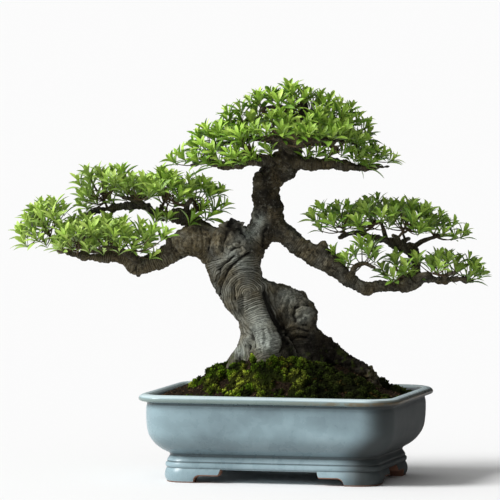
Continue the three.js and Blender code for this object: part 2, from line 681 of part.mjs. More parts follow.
// Each spray keeps clear of the wood and of the sprays made before it
function makeSprays(grownLimbs) {
  const sprays = [];
  const grownSprays = [];
  PADS.forEach((pad) => {
    sprayPlaces(pad).forEach((place, index) => {
      const grown = makeSpray(pad, place, GAP);
      const obstacles = [...grownLimbs, ...grownSprays].filter((other) => boxesMeet(other, grown));
      const cut = obstacles.reduce((solid, other) => solid.subtract(other), makeSpray(pad, place, 0));
      const spray = largestBody(cut);
      sprays.push(piece(`${pad.name}_spray_${index + 1}`, spray, leafGreen));
      grownSprays.push(grown.add(spray));
    });
  });
  return sprays;
}

const limbs = Object.values(limbSolids(0));
const grownLimbs = Object.values(limbSolids(GAP));
const wood = joined(limbs).subtract(makeHollow());
const grownWood = turned(joined(grownLimbs), TREE_TURN);

const tree = new THREE.Group();
tree.rotation.z = TREE_TURN;
tree.add(piece('wood', wood, bark));
tree.add(...makeSprays(grownLimbs));

const tray = new THREE.Group();
tray.add(piece('pot', makePot(), glaze));
[['left', -1], ['right', 1]].forEach(([name, side]) => {
  tray.add(piece(`drain_screen_${name}`, makeScreen(side), plasticMesh));
  tray.add(piece(`screen_clip_${name}`, makeClip(side), aluminiumWire));
});
tray.add(piece('grit', makeGrit(), gritStone));
const topRows = soilTopRows();
tray.add(piece('soil', largestBody(makeSoil(topRows).subtract(grownWood)), soilEarth));
Object.keys(MOSS_PATCHES).forEach((name) => {
  tray.add(piece(name, largestBody(makeMoss(name, topRows).subtract(grownWood)), mossGreen));
});

// The part's origin is the middle of the bottom of its box
const arrangement = new THREE.Group();
arrangement.add(tray, tree);
arrangement.updateMatrixWorld(true);
const box = new THREE.Box3().setFromObject(arrangement, true);
const middle = box.getCenter(new THREE.Vector3());
arrangement.position.set(-middle.x, -middle.y, -box.min.z);

const group = new THREE.Group();
group.add(arrangement);

export default group;
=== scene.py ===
"""Looks of a broad-leaved bonsai in a glazed, footed tray: bark, leaves, moss, soil and glaze.

Shapes are worked out in millimetres. The tree has a frame of its own, u to the right, v away from the viewer
and z up, turned by TREE_TURN about the tray's upright axis.
"""

import json
import math

import bpy
import numpy as np
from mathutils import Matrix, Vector, noise

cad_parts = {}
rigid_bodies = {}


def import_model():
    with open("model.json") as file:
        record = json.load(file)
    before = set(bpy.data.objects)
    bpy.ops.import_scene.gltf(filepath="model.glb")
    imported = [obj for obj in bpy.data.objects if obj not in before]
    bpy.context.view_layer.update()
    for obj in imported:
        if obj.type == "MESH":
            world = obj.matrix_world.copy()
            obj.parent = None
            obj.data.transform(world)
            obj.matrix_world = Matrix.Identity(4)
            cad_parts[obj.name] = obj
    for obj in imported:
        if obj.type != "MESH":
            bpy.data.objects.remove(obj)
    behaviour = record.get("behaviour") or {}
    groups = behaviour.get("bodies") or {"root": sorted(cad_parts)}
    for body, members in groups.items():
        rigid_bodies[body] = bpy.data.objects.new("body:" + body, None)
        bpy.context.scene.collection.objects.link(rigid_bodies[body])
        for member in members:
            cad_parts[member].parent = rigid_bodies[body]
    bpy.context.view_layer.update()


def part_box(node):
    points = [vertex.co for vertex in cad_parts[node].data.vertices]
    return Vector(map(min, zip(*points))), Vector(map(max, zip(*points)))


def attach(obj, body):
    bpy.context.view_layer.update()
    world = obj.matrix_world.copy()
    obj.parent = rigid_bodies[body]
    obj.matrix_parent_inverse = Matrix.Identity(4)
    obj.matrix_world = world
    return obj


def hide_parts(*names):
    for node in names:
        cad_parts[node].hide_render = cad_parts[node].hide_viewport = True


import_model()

MM = 0.001
SEED = 7
TREE_TURN = math.radians(13)
POT_LOW, POT_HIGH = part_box("pot")
POT_CENTRE = (POT_LOW + POT_HIGH) / 2
POT_LENGTH = (POT_HIGH.x - POT_LOW.x) / MM
POT_WIDTH = (POT_HIGH.y - POT_LOW.y) / MM

# Camera: its turn and lift, its distance and reach in metres, and where it looks in the tree's frame.
# Marks on the trunk are given square on to a view that is lifted by MARK_LIFT.
VIEW_TURN = math.radians(14.2)
VIEW_LIFT = math.radians(3.4)
MARK_LIFT = math.radians(3.2)
VIEW_DISTANCE = 9.0
VIEW_LENS = 480
VIEW_AIM = (-49.8, 0, 308.6)
VIEW_SENSOR = 36
VIEW_REACH = 1000

# Tray: the rim's corner, how fast inner corners tighten, and its sections as rows of a height and an inset
# from the rim's outline
RIM_CORNER = 40
CORNER_TIGHTENING = 0.35
CORNER_STEPS = 12
LONG_STEPS = 26
SHORT_STEPS = 20
POT_OUTSIDE = [
    [18, 36], [19, 33.6], [20, 33.2], [21, 32.2], [23.5, 31.6], [26, 32.2], [27.2, 33.6], [28, 33.9],
    [29, 33.4], [31, 34.2], [34, 36], [36.5, 37], [38.5, 36], [44, 27.4], [52, 19], [64, 12], [78, 9.5],
    [100, 9], [107, 9.8], [109, 6], [110, 2.2], [111.5, 0.5], [114, 0.1], [116.5, 1.4], [118.5, 4],
    [119.5, 7.5],
]
POT_INSIDE = [[118.7, 12], [114.5, 16], [100, 20], [62, 25], [45, 38], [28, 52]]
FOOT_OUTSIDE = [[0, 34.5], [3, 32.2], [8, 30.8], [13, 31], [17, 32.2], [21, 34]]
FOOT_THICKNESS = 16
FOOT_HEIGHT = 19
FOOT_EDGE = 2.2
# Along a foot, from its outer point: where its side begins, its low block ends, its step and its heel end
FOOT_START = 12
FOOT_BLOCK = 45
FOOT_STEP_HEIGHT = 9.5
FOOT_STEP_START = 57
FOOT_SPAN = 79
FOOT_HEEL = 4
DRAIN_OFFSET = 75
DRAIN_RADIUS = 11
DRAIN_SIDES = 32
DRILL_HEIGHT = 60

# Limbs as [u, v, z, radius], each starting inside the limb that carries it
LIMBS = {
    "column": [
        [-29, -25, 127, 30], [-29, -22, 153, 30], [-30, -20, 174, 29], [-34, -16, 198, 28],
        [-40, -12, 225, 28], [-56, -8, 252, 32], [-69, -4, 277, 34], [-74, 0, 300, 34], [-78, 2, 317, 30],
    ],
    "knee": [
        [-55, 4, 260, 27], [-27, 8, 240, 26], [2, 10, 227, 31],
        [17, 8, 209, 29], [19, 4, 185, 27], [22, 0, 140, 30],
    ],
    "right_root": [
        [26, 5, 196, 16], [48, 8, 178, 14], [72, 10, 161, 12],
        [94, 12, 148, 10], [112, 12, 140, 8], [120, 12, 122, 7],
    ],
    "left_root": [[-48, -8, 187, 14], [-58, -14, 174, 9], [-67, -18, 165, 8], [-80, -20, 140, 6]],
    "front_toe": [
        [-37, -28, 208, 18], [-30, -42, 191, 18], [-27, -50, 174, 16], [-25, -54, 153, 13],
        [-24, -56, 130, 8],
    ],
    "right_toe": [[-19, -25, 188, 16], [-5, -34, 173, 15], [6, -38, 155, 12], [14, -40, 130, 8]],
    "back_left_root": [[-34, -6, 194, 20], [-46, 24, 174, 19], [-62, 48, 151, 14], [-81, 68, 124, 8]],
    "back_right_root": [[12, 2, 194, 20], [14, 26, 174, 19], [33, 48, 151, 14], [60, 66, 122, 8]],
    "stump": [[-66, -14, 312, 16], [-70, -18, 330, 15], [-73, -20, 344, 14]],
    "neck": [
        [-62, 0, 308, 26], [-48, 2, 320, 20], [-34, 3, 334, 20], [-24, 4, 350, 20], [-21, 4, 369, 20],
        [-23, 3, 389, 18], [-20, 2, 406, 16], [-12, 2, 419, 15], [0, 1, 435, 14], [10, 0, 451, 12],
        [17, 0, 468, 9], [21, -2, 487, 7], [23, -2, 504, 5],
    ],
    "neck_knot": [[-28, -3, 384, 10], [-38, -8, 399, 9], [-40, -8, 409, 6]],
    "left_branch": [
        [-73, 0, 305, 30], [-91, -2, 314, 27], [-109, -4, 321, 24], [-135, -6, 318, 20], [-154, -8, 306, 14],
        [-177, -10, 294, 12], [-197, -12, 289, 11], [-221, -15, 299, 8], [-251, -18, 299, 5.5],
        [-278, -20, 302, 4.5], [-307, -20, 310, 3],
    ],
    "left_knot": [[-194, -12, 291, 7], [-201, -12, 274, 3]],
    "left_front": [[-197, -12, 289, 7], [-210, -34, 303, 5], [-229, -52, 313, 3.5], [-251, -62, 315, 2.4]],
    "left_back": [[-221, -15, 299, 6], [-237, 4, 305, 4.5], [-259, 24, 305, 3.2], [-280, 38, 304, 2.2]],
    "left_near": [[-163, -9, 299, 7], [-159, -30, 314, 5], [-159, -46, 326, 3.5], [-170, -58, 333, 2.5]],
    "upper_left": [
        [-110, 6, 326, 12], [-121, 12, 342, 9], [-136, 16, 354, 7], [-156, 18, 356, 6],
        [-177, 20, 356, 5.5], [-193, 22, 367, 5], [-213, 24, 367, 5.5], [-243, 26, 363, 5],
        [-264, 26, 358, 4], [-278, 24, 352, 2.5],
    ],
    "upper_back": [[-177, 20, 356, 4.5], [-170, 42, 363, 3.5], [-172, 62, 365, 2.4]],
    "upper_front": [[-193, 22, 367, 4.5], [-205, 2, 376, 3.5], [-221, -14, 380, 2.4]],
    "upper_near": [[-136, 16, 354, 5.5], [-135, 0, 368, 4], [-129, -14, 377, 3]],
    "upper_near_back": [[-136, 16, 354, 5], [-121, 34, 363, 4], [-110, 50, 367, 2.6]],
    "right_branch": [
        [-24, 2, 340, 18], [-8, 2, 334, 15], [6, 0, 326, 13.5], [33, -3, 307, 14], [60, -6, 288, 13.5],
        [80, -8, 272, 10.5], [103, -9, 259, 9], [125, -8, 260, 7.5], [147, -6, 260, 8], [170, -4, 266, 10],
        [188, -2, 272, 6], [208, 0, 267, 4.5], [228, 0, 270, 3.5], [251, 0, 267, 2.5],
    ],
    "right_knot": [[49, -4, 304, 8], [48, -4, 317, 5]],
    "low_twig": [[87, -10, 270, 5], [91, -16, 285, 4], [103, -20, 292, 3], [119, -24, 286, 2.2]],
    "low_front": [[170, -6, 267, 6], [179, -26, 275, 4.5], [189, -42, 280, 2.6]],
    "low_back": [[147, -4, 261, 5], [152, 22, 268, 4], [160, 42, 271, 2.6]],
    "low_tip": [[208, 0, 267, 4], [216, -16, 276, 3], [227, -28, 281, 2]],
    "riser": [
        [168, 0, 267, 8], [174, 6, 283, 6.5], [174, 10, 296, 6], [166, 14, 308, 5.5], [152, 16, 314, 5],
        [134, 18, 321, 4.5], [111, 18, 326, 4], [89, 18, 331, 3.2], [71, 18, 325, 2.2],
    ],
    "riser_top": [[134, 18, 321, 4], [131, 16, 333, 3], [127, 14, 345, 2.2]],
    "riser_side": [[166, 14, 308, 4], [181, 12, 319, 3.5], [200, 10, 326, 2.5], [216, 10, 329, 2]],
    "riser_front": [[152, 16, 314, 4.5], [149, -8, 325, 3.5], [143, -28, 330, 2.4]],
    "riser_back": [[152, 16, 314, 4.5], [160, 40, 320, 3.5], [165, 58, 321, 2.4]],
    "riser_tip": [[111, 18, 326, 3.5], [100, -4, 333, 2.8], [89, -22, 332, 2]],
    "crown_right": [
        [6, 0, 430, 10], [22, -8, 428, 7], [41, -12, 427, 6.5], [62, -14, 428, 5.5], [87, -14, 423, 4],
        [114, -12, 421, 3], [137, -10, 422, 2],
    ],
    "crown_left": [
        [-5, 0, 422, 9], [-21, -8, 431, 6], [-37, -14, 432, 5], [-59, -18, 429, 4.5], [-83, -20, 424, 3.5],
        [-108, -20, 428, 2.8], [-129, -20, 424, 2],
    ],
    "tier_right": [
        [15, 0, 464, 7], [33, 6, 461, 5.5], [54, 10, 459, 4.5], [79, 12, 456, 3], [98, 14, 450, 2],
    ],
    "tier_left": [
        [6, 2, 444, 7], [-13, 8, 454, 5.5], [-37, 12, 459, 4.5], [-64, 16, 456, 3.2], [-89, 18, 450, 2.2],
    ],
    "crown_front": [[6, -8, 442, 7], [0, -28, 452, 5.5], [-8, -50, 460, 4], [-16, -72, 462, 2.5]],
    "crown_front_right": [[14, -6, 450, 6], [30, -26, 457, 5], [49, -46, 459, 3.6], [65, -62, 456, 2.4]],
    "crown_back": [[3, 8, 436, 7], [-2, 30, 443, 5.5], [-13, 54, 446, 4], [-24, 76, 441, 2.5]],
    "crown_back_right": [[14, 8, 450, 6], [33, 28, 452, 5], [52, 48, 450, 3.6], [68, 66, 442, 2.4]],
    "top_left": [[18, 0, 482, 5], [3, -6, 496, 4], [-16, -10, 502, 3], [-35, -14, 500, 2]],
    "top_right": [[21, 0, 487, 4.5], [35, 6, 495, 3.5], [52, 10, 494, 2.5]],
}

# Foliage pads: the seed of their chances, the point that their shoots grow away from, how full they are, the
# limbs that feed them, and the top of each spray
PADS = {
    "crown": {
        "seed": 9,
        "focus": [0, 0, 400],
        "fullness": 1,
        "limbs": [
            "neck", "crown_right", "crown_left", "tier_right", "tier_left", "crown_front",
            "crown_front_right", "crown_back", "crown_back_right", "top_left", "top_right",
        ],
        "sprays": [
            [3, 0, 526], [-37, -5, 515], [44, 5, 514], [-78, 0, 482], [80, 0, 486], [-124, -10, 451],
            [114, -5, 452], [-21, -48, 492], [44, -48, 487], [-64, -52, 465], [19, -78, 465], [84, -45, 462],
            [-15, 48, 486], [44, 50, 482], [-62, 48, 455], [87, 46, 452], [8, 82, 446],
        ],
    },
    "lower_left": {
        "seed": 31,
        "focus": [-245, -10, 260],
        "fullness": 1,
        "limbs": ["left_branch", "left_front", "left_back", "left_near"],
        "sprays": [
            [-340, -15, 357], [-289, 12, 343], [-289, -50, 338],
            [-244, 28, 339], [-240, -48, 336], [-196, -28, 337],
        ],
    },
    "upper_left": {
        "seed": 32,
        "focus": [-186, 15, 315],
        "fullness": 0.75,
        "limbs": ["upper_left", "upper_back", "upper_front", "upper_near", "upper_near_back"],
        "sprays": [
            [-264, 15, 402], [-213, 38, 400], [-207, -15, 400],
            [-159, 46, 400], [-154, -8, 400], [-109, 20, 390],
        ],
    },
    "upper_right": {
        "seed": 33,
        "focus": [140, 12, 270],
        "fullness": 0.45,
        "limbs": ["riser", "riser_top", "riser_side", "riser_front", "riser_back", "riser_tip"],
        "sprays": [
            [60, 10, 356], [108, 34, 369], [116, -18, 367], [157, 48, 363], [168, -10, 366], [213, 14, 345],
        ],
    },
    "lower_right": {
        "seed": 44,
        "focus": [170, 0, 190],
        "fullness": 0.5,
        "limbs": ["right_branch", "low_twig", "low_front", "low_back", "low_tip"],
        "sprays": [[89, -24, 308], [146, -12, 296], [206, -28, 300], [214, 28, 292], [256, 2, 288]],
    },
}


# Shapes

# How far a tube's tip bulges, as a share of its radius, and a direction that no tube starts in
TIP_BULGE = 0.6
ACROSS_FROM = [0.31, 0.95, 0.07]


class Shape:
    """Points in millimetres, faces, and values by point, gathered into one mesh."""

    def __init__(self):
        self.points = []
        self.faces = []
        self.values = {}
        self.count = 0

    def add(self, points, faces, **values):
        points = np.asarray(points, float)
        self.points.append(points)
        self.faces.extend([tuple(self.count + corner for corner in face) for face in faces])
        for name, value in values.items():
            self.values.setdefault(name, []).append(np.broadcast_to(value, len(points)))
        self.count += len(points)

    def mesh(self, name, placed):
        mesh = bpy.data.meshes.new(name)
        mesh.from_pydata(placed(np.vstack(self.points)).tolist(), [], self.faces)
        for key, parts in self.values.items():
            attribute = mesh.attributes.new(key, "FLOAT", "POINT")
            attribute.data.foreach_set("value", np.concatenate(parts).astype(np.float32))
        mesh.shade_smooth()
        return mesh


def to_row(points):
    """Millimetres in the tree's frame as metres in the row's frame."""
    points = np.asarray(points, float)
    cosine, sine = math.cos(TREE_TURN), math.sin(TREE_TURN)
    x = points[:, 0] * cosine - points[:, 1] * sine
    y = points[:, 0] * sine + points[:, 1] * cosine
    return np.column_stack([x, y, points[:, 2]]) * MM + [POT_CENTRE.x, POT_CENTRE.y, 0]


def tray_to_row(points):
    """Millimetres from the middle of the tray's underside as metres in the row's frame."""
    return np.asarray(points, float) * MM + [POT_CENTRE.x, POT_CENTRE.y, 0]


def unmoved(points):
    return points


def add_object(name, mesh):
    thing = bpy.data.objects.new(name, mesh)
    bpy.context.scene.collection.objects.link(thing)
    return thing


def modified(mesh, *modifiers):
    """The mesh that modifiers, each a kind and its settings, make of a mesh."""
    thing = add_object("modified", mesh)
    for kind, settings in modifiers:
        modifier = thing.modifiers.new(kind, kind)
        for name, value in settings.items():
            setattr(modifier, name, value)
    return taken_mesh(thing)


def taken_mesh(thing):
    """The mesh that an object has once its modifiers are applied; the object goes."""
    graph = bpy.context.evaluated_depsgraph_get()
    ready = thing.evaluated_get(graph)
    mesh = bpy.data.meshes.new_from_object(ready, preserve_all_data_layers=True, depsgraph=graph)
    bpy.data.objects.remove(thing)
    return mesh


def remeshed(mesh, voxel, smoothing):
    """A mesh's outer surface as even small squares."""
    remesh = {"mode": "VOXEL", "voxel_size": voxel}
    return modified(mesh, ["REMESH", remesh], ["SMOOTH", {"iterations": smoothing}])


def thinned(mesh, triangles):
    """A mesh with no more than a number of triangles, fewest where it is flattest."""
    count = sum(len(face.vertices) - 2 for face in mesh.polygons)
    return modified(mesh, ["DECIMATE", {"ratio": min(1, triangles / count)}])


def by_vertex(mesh, key):
    """Each vertex's place, whose key is co, or its normal."""
    flat = np.empty(3 * len(mesh.vertices))
    mesh.vertices.foreach_get(key, flat)
    return flat.reshape(-1, 3)


def faces_of(mesh):
    return [tuple(face.vertices) for face in mesh.polygons]


def add_piece(name, mesh, slot, *nodes):
    """Adds a mesh as a piece under one name."""
    mesh.name = name
    finish_piece(add_object(name, mesh), slot, *nodes)


def finish_piece(piece, slot, *nodes):
    """Rides on the body, and stands for the CAD nodes."""
    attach(piece, "root")
    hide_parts(*nodes)


def unit(vectors):
    return vectors / np.maximum(np.linalg.norm(vectors, axis=-1, keepdims=True), 1e-9)


def fade(value, low, high):
    """0 below low, 1 above high, and smooth between them."""
    share = np.clip((value - low) / (high - low), 0, 1)
    return share * share * (3 - 2 * share)


def lumps(places, scale, octaves=3, shift=0.0):
    """Smooth random values at places, for features about as wide as the scale."""
    return np.array([
        noise.fractal(Vector(place) / scale + Vector((shift, shift, shift)), 0.6, 2.0, octaves)
        for place in places
    ])


def curve_through(route, step):
    """Points about a step apart on the smooth line through a route's points, values after z included."""
    route = np.asarray(route, float)
    controls = np.vstack([2 * route[0] - route[1], route, 2 * route[-1] - route[-2]])
    gaps = np.sqrt(np.linalg.norm(np.diff(controls[:, :3], axis=0), axis=1))
    line = []
    for index in range(1, len(controls) - 2):
        p0, p1, p2, p3 = controls[index - 1:index + 3]
        t1 = gaps[index - 1]
        t2 = t1 + gaps[index]
        t3 = t2 + gaps[index + 1]
        count = max(1, round(gaps[index] ** 2 / step))
        for t in np.linspace(t1, t2, count, endpoint=False):
            a1 = p0 + (p1 - p0) * t / t1
            a2 = p1 + (p2 - p1) * (t - t1) / (t2 - t1)
            a3 = p2 + (p3 - p2) * (t - t2) / (t3 - t2)
            b1 = a1 + (a2 - a1) * t / t2
            b2 = a2 + (a3 - a2) * (t - t1) / (t3 - t1)
            line.append(b1 + (b2 - b1) * (t - t1) / (t2 - t1))
    line.append(route[-1])
    return np.array(line)


def ring_faces(rings, count):
    """Faces between closed rings that follow each other, open at both ends."""
    faces = []
    for row in range(rings - 1):
        for side in range(count):
            a = row * count + side
            b = row * count + (side + 1) % count
            faces.append((a, b, b + count, a + count))
    return faces


def closed_faces(rings, count):
    """Faces between closed rings that follow each other, and over both ends."""
    last = (rings - 1) * count
    return [*ring_faces(rings, count), tuple(reversed(range(count))), tuple(range(last, last + count))]


def tube(line, sides):
    """A closed tube along [x, y, z, radius] points, with a rounded tip."""
    centres, radii = line[:, :3], line[:, 3]
    tangents = unit(np.gradient(centres, axis=0))
    across = unit(np.cross(tangents[0], ACROSS_FROM))
    angles = np.linspace(0, 2 * math.pi, sides, endpoint=False)
    rings = []
    for centre, tangent, radius in zip(centres, tangents, radii):
        across = unit(across - tangent * (across @ tangent))
        third = np.cross(tangent, across)
        spokes = np.outer(np.cos(angles), across) + np.outer(np.sin(angles), third)
        rings.append(centre + radius * spokes)
    tip = centres[-1] + TIP_BULGE * radii[-1] * tangents[-1]
    points = np.vstack([*rings, centres[:1], tip[None]])
    faces = ring_faces(len(rings), sides)
    base = len(rings) * sides
    for side in range(sides):
        after = (side + 1) % sides
        faces.append((base, after, side))
        faces.append((base + 1, base - sides + side, base - sides + after))
    return points, faces


# Node trees


class Wire:
    """An output socket. Arithmetic on it adds Math nodes."""

    def __init__(self, nodes, socket):
        self.nodes = nodes
        self.socket = socket

    def maths(self, operation, *values):
        return self.nodes.node("ShaderNodeMath", {"operation": operation}, dict(enumerate(values)))[0]

    def __add__(self, other):
        return self.maths("ADD", self, other)

    def __radd__(self, other):
        return self.maths("ADD", other, self)

    def __sub__(self, other):
        return self.maths("SUBTRACT", self, other)

    def __rsub__(self, other):
        return self.maths("SUBTRACT", other, self)

    def __mul__(self, other):
        return self.maths("MULTIPLY", self, other)

    def __rmul__(self, other):
        return self.maths("MULTIPLY", other, self)

    def __pow__(self, other):
        return self.maths("POWER", self, other)

    def __abs__(self):
        return self.maths("ABSOLUTE", self)

    def step(self, low, high):
        """0 below low, 1 above high, and smooth between them."""
        settings = {"interpolation_type": "SMOOTHSTEP"}
        sockets = {"Value": self, "From Min": low, "From Max": high}
        return self.nodes.node("ShaderNodeMapRange", settings, sockets)["Result"]


class Outputs:
    """A node's output sockets, by name or number."""

    def __init__(self, nodes, node):
        self.nodes = nodes
        self.node = node

    def __getitem__(self, name):
        return Wire(self.nodes, self.node.outputs[name])


class Nodes:
    """Adds nodes to a tree: their type, their settings, then the values or links of their sockets."""

    def __init__(self, tree):
        self.tree = tree

    def node(self, kind, settings=None, sockets=None):
        node = self.tree.nodes.new(kind)
        for name, value in (settings or {}).items():
            if name == "stops":
                self.set_stops(node.color_ramp.elements, value)
            else:
                setattr(node, name, value)
        for name, value in (sockets or {}).items():
            if isinstance(value, Wire):
                self.tree.links.new(value.socket, node.inputs[name])
            else:
                node.inputs[name].default_value = value
        return Outputs(self, node)

    def set_stops(self, elements, stops):
        while len(elements) < len(stops):
            elements.new(1)
        for element, (place, colour) in zip(elements, stops):
            element.position = place
            element.color = (*colour, 1)


class Finish(Nodes):
    """A material with one Principled shader."""

    def __init__(self, name, **constants):
        self.material = bpy.data.materials.new(name)
        self.material.use_nodes = True
        super().__init__(self.material.node_tree)
        self.shader = next(node for node in self.tree.nodes if node.type == "BSDF_PRINCIPLED")
        for key, value in constants.items():
            self.shader.inputs[key.replace("_", " ")].default_value = value
        self.place = self.node("ShaderNodeTexCoord")["Object"]

    def connect(self, socket, wire):
        self.tree.links.new(wire.socket, self.shader.inputs[socket])

    def grain(self, scale, detail=2, rough=0.5, place=None):
        """Noise with so many features to a metre."""
        sockets = {"Vector": place or self.place, "Scale": scale, "Detail": detail, "Roughness": rough}
        return self.node("ShaderNodeTexNoise", None, sockets)["Fac"]

    def stretched(self, scale, place=None):
        """Place with each axis scaled."""
        sockets = {"Vector": place or self.place, "Scale": scale}
        return self.node("ShaderNodeMapping", None, sockets)["Vector"]

    def parts(self, vector=None):
        """A vector's X, Y and Z."""
        return self.node("ShaderNodeSeparateXYZ", None, {"Vector": vector or self.place})

    def value_of(self, attribute):
        return self.node("ShaderNodeAttribute", {"attribute_name": attribute})["Fac"]

    def ramp(self, value, stops):
        return self.node("ShaderNodeValToRGB", {"stops": stops}, {"Fac": value})["Color"]

    def blend(self, first, second, share):
        settings = {"data_type": "RGBA", "clamp_factor": True}
        return self.node("ShaderNodeMix", settings, {0: share, 6: opaque(first), 7: opaque(second)})[2]

    def layered(self, colour, *layers):
        """A colour with others over it, each given with its share."""
        for over, share in layers:
            colour = self.blend(colour, over, share)
        return colour

    def bump(self, value, distance, strength=1.0):
        sockets = {"Height": value, "Distance": distance, "Strength": strength}
        self.connect("Normal", self.node("ShaderNodeBump", None, sockets)["Normal"])


class Growth(Nodes):
    """A geometry tree with named inputs, each given as its name, its kind and its value."""

    def __init__(self, name, inputs):
        super().__init__(bpy.data.node_groups.new(name, "GeometryNodeTree"))
        sockets = self.tree.interface
        for label, kind, value in inputs:
            socket = sockets.new_socket(name=label, in_out="INPUT", socket_type=f"NodeSocket{kind}")
            if value is not None:
                socket.default_value = value
        sockets.new_socket(name="Geometry", in_out="OUTPUT", socket_type="NodeSocketGeometry")
        self.given = self.node("NodeGroupInput")

    def chance(self, low, high, step):
        """A random number, apart from those of other steps."""
        sockets = {2: low, 3: high, "Seed": self.given["Seed"] + step}
        return self.node("FunctionNodeRandomValue", {"data_type": "FLOAT"}, sockets)[1]

    def named(self, name, kind="FLOAT"):
        """A value that the mesh carries."""
        return self.node("GeometryNodeInputNamedAttribute", {"data_type": kind}, {"Name": name})[0]

    def marked(self, instances, name, value):
        """Instances that carry a value."""
        settings = {"data_type": "FLOAT", "domain": "INSTANCE"}
        sockets = {"Geometry": instances, "Name": name, "Value": value}
        return self.node("GeometryNodeStoreNamedAttribute", settings, sockets)["Geometry"]

    def rotated(self, rotation, x, y, z):
        """A rotation turned further about its own axes."""
        angles = self.node("ShaderNodeCombineXYZ", None, {"X": x, "Y": y, "Z": z})["Vector"]
        further = self.node("FunctionNodeEulerToRotation", None, {"Euler": angles})["Rotation"]
        sockets = {"Rotation": rotation, "Rotate By": further}
        return self.node("FunctionNodeRotateRotation", {"rotation_space": "LOCAL"}, sockets)["Rotation"]

    def dressed(self, geometry, material):
        """Instances made real, with a material."""
        real = self.node("GeometryNodeRealizeInstances", None, {"Geometry": geometry})["Geometry"]
        sockets = {"Geometry": real, "Material": material}
        return self.node("GeometryNodeSetMaterial", None, sockets)["Geometry"]

    def end(self, geometry):
        self.node("NodeGroupOutput", None, {"Geometry": geometry})


def grown(mesh, growth, **values):
    """The mesh that a geometry tree makes from a mesh, with named inputs set."""
    thing = add_object("grown", mesh)
    modifier = thing.modifiers.new("grown", "NODES")
    modifier.node_group = growth.tree
    identifiers = {item.name.replace(" ", "_"): item.identifier for item in growth.tree.interface.items_tree}
    for name, value in values.items():
        modifier[identifiers[name]] = value
    return taken_mesh(thing)


def opaque(colour):
    return colour if isinstance(colour, Wire) else (*colour, 1)


def tone(red, green, blue):
    """A colour as seen on screen, from 0 to 255, as the light values that a shader takes."""
    shares = [channel / 255 for channel in (red, green, blue)]
    return tuple(share / 12.92 if share <= 0.04045 else ((share + 0.055) / 1.055) ** 2.4 for share in shares)


# Wood

# Limbs that start with a radius of THICK_LIMB or more melt into each other; the others stay plain tubes
THICK_LIMB = 8
THICK_SIDES = 24
THIN_SIDES = 9
THIN_SWELL = 0.55
TUBE_STEP = 3
FIELD_STEP = 5
FIELD_REACH = 24
FIELD_BLEND = 3.5
SNAP_ROUNDS = 3
SNAP_REACH = 4
WOOD_VOXEL = 1.25
WOOD_SMOOTHING = 2
WOOD_TRIANGLES = 185000
# Farther than any place on the wood is from its limb
FAR = 1e3

# The stump's rotted hollow as [u, v, z, radius], and how far past it the bark gets painted shade
HOLLOW = (-71, -30, 348, 9.5)
HOLLOW_SHADE = 3.0

# Growth rings across a limb, and folds along it. Below MARKED_BELOW the front has marks of its own instead of
# most of its folds.
RING_PITCH = 5.6
RING_DEPTH = 1.3
RING_PATCH_WIDTH = 24
RING_PATCH_COUNT = 2.5
FOLD_DEPTH = 3.0
FOLD_LENGTH = 60
FOLD_WIDTH = 13
FOLD_SHIFT = 30
MARKED_SHARE = 0.85
MARKED_BELOW = 330
MARKED_FADE = 30

# By limb, where the rest take the last value: how strongly the bark is ringed
RINGED = {
    "column": 1.0, "left_branch": 0.65, "front_toe": 0.55, "neck": 0.3, "knee": 0.35, "stump": 0.4,
    "right_branch": 0.4, "upper_left": 0.5, "left_root": 0.5, "other": 0.35,
}
# Limbs whose grain goes on in another limb's
GRAIN_LEADERS = {
    "front_toe": "column", "right_toe": "column", "left_root": "column", "back_left_root": "column",
    "stump": "column", "right_root": "knee", "back_right_root": "knee",
}
# By limb, how deep the bark's small lumps are
ROUGHNESS = {
    "column": 0.7, "front_toe": 1.5, "left_branch": 1.1, "knee": 2.2, "neck": 2.2, "right_branch": 1.4,
    "right_root": 2.8, "stump": 2.6, "other": 1.3,
}
# By limb, how light a grey the bark is, partly its own colour and partly painted shade
GREYNESS = {
    "column": 0.76, "front_toe": 0.84, "left_root": 0.85, "right_toe": 0.6, "left_branch": 0.4, "knee": 0.45,
    "stump": 0.5, "right_root": 0.1, "back_left_root": 0.5, "back_right_root": 0.3, "right_branch": 0.3,
    "neck": 0.0, "neck_knot": 0.15, "upper_left": 0.4, "riser": 0.3, "other": 0.2,
}
# By limb, how brown the bark is
WARMTH = {
    "left_branch": 0.9, "column": 0.35, "front_toe": 0.2, "stump": 0.4, "knee": 0.45, "neck": 0.2,
    "right_branch": 0.4, "other": 0.5,
}

# Bark rolls up on both sides of a crease: how high, as a share of its depth, and how many widths away
ROLL_HEIGHT = 0.4
ROLL_OFFSET = 2.1

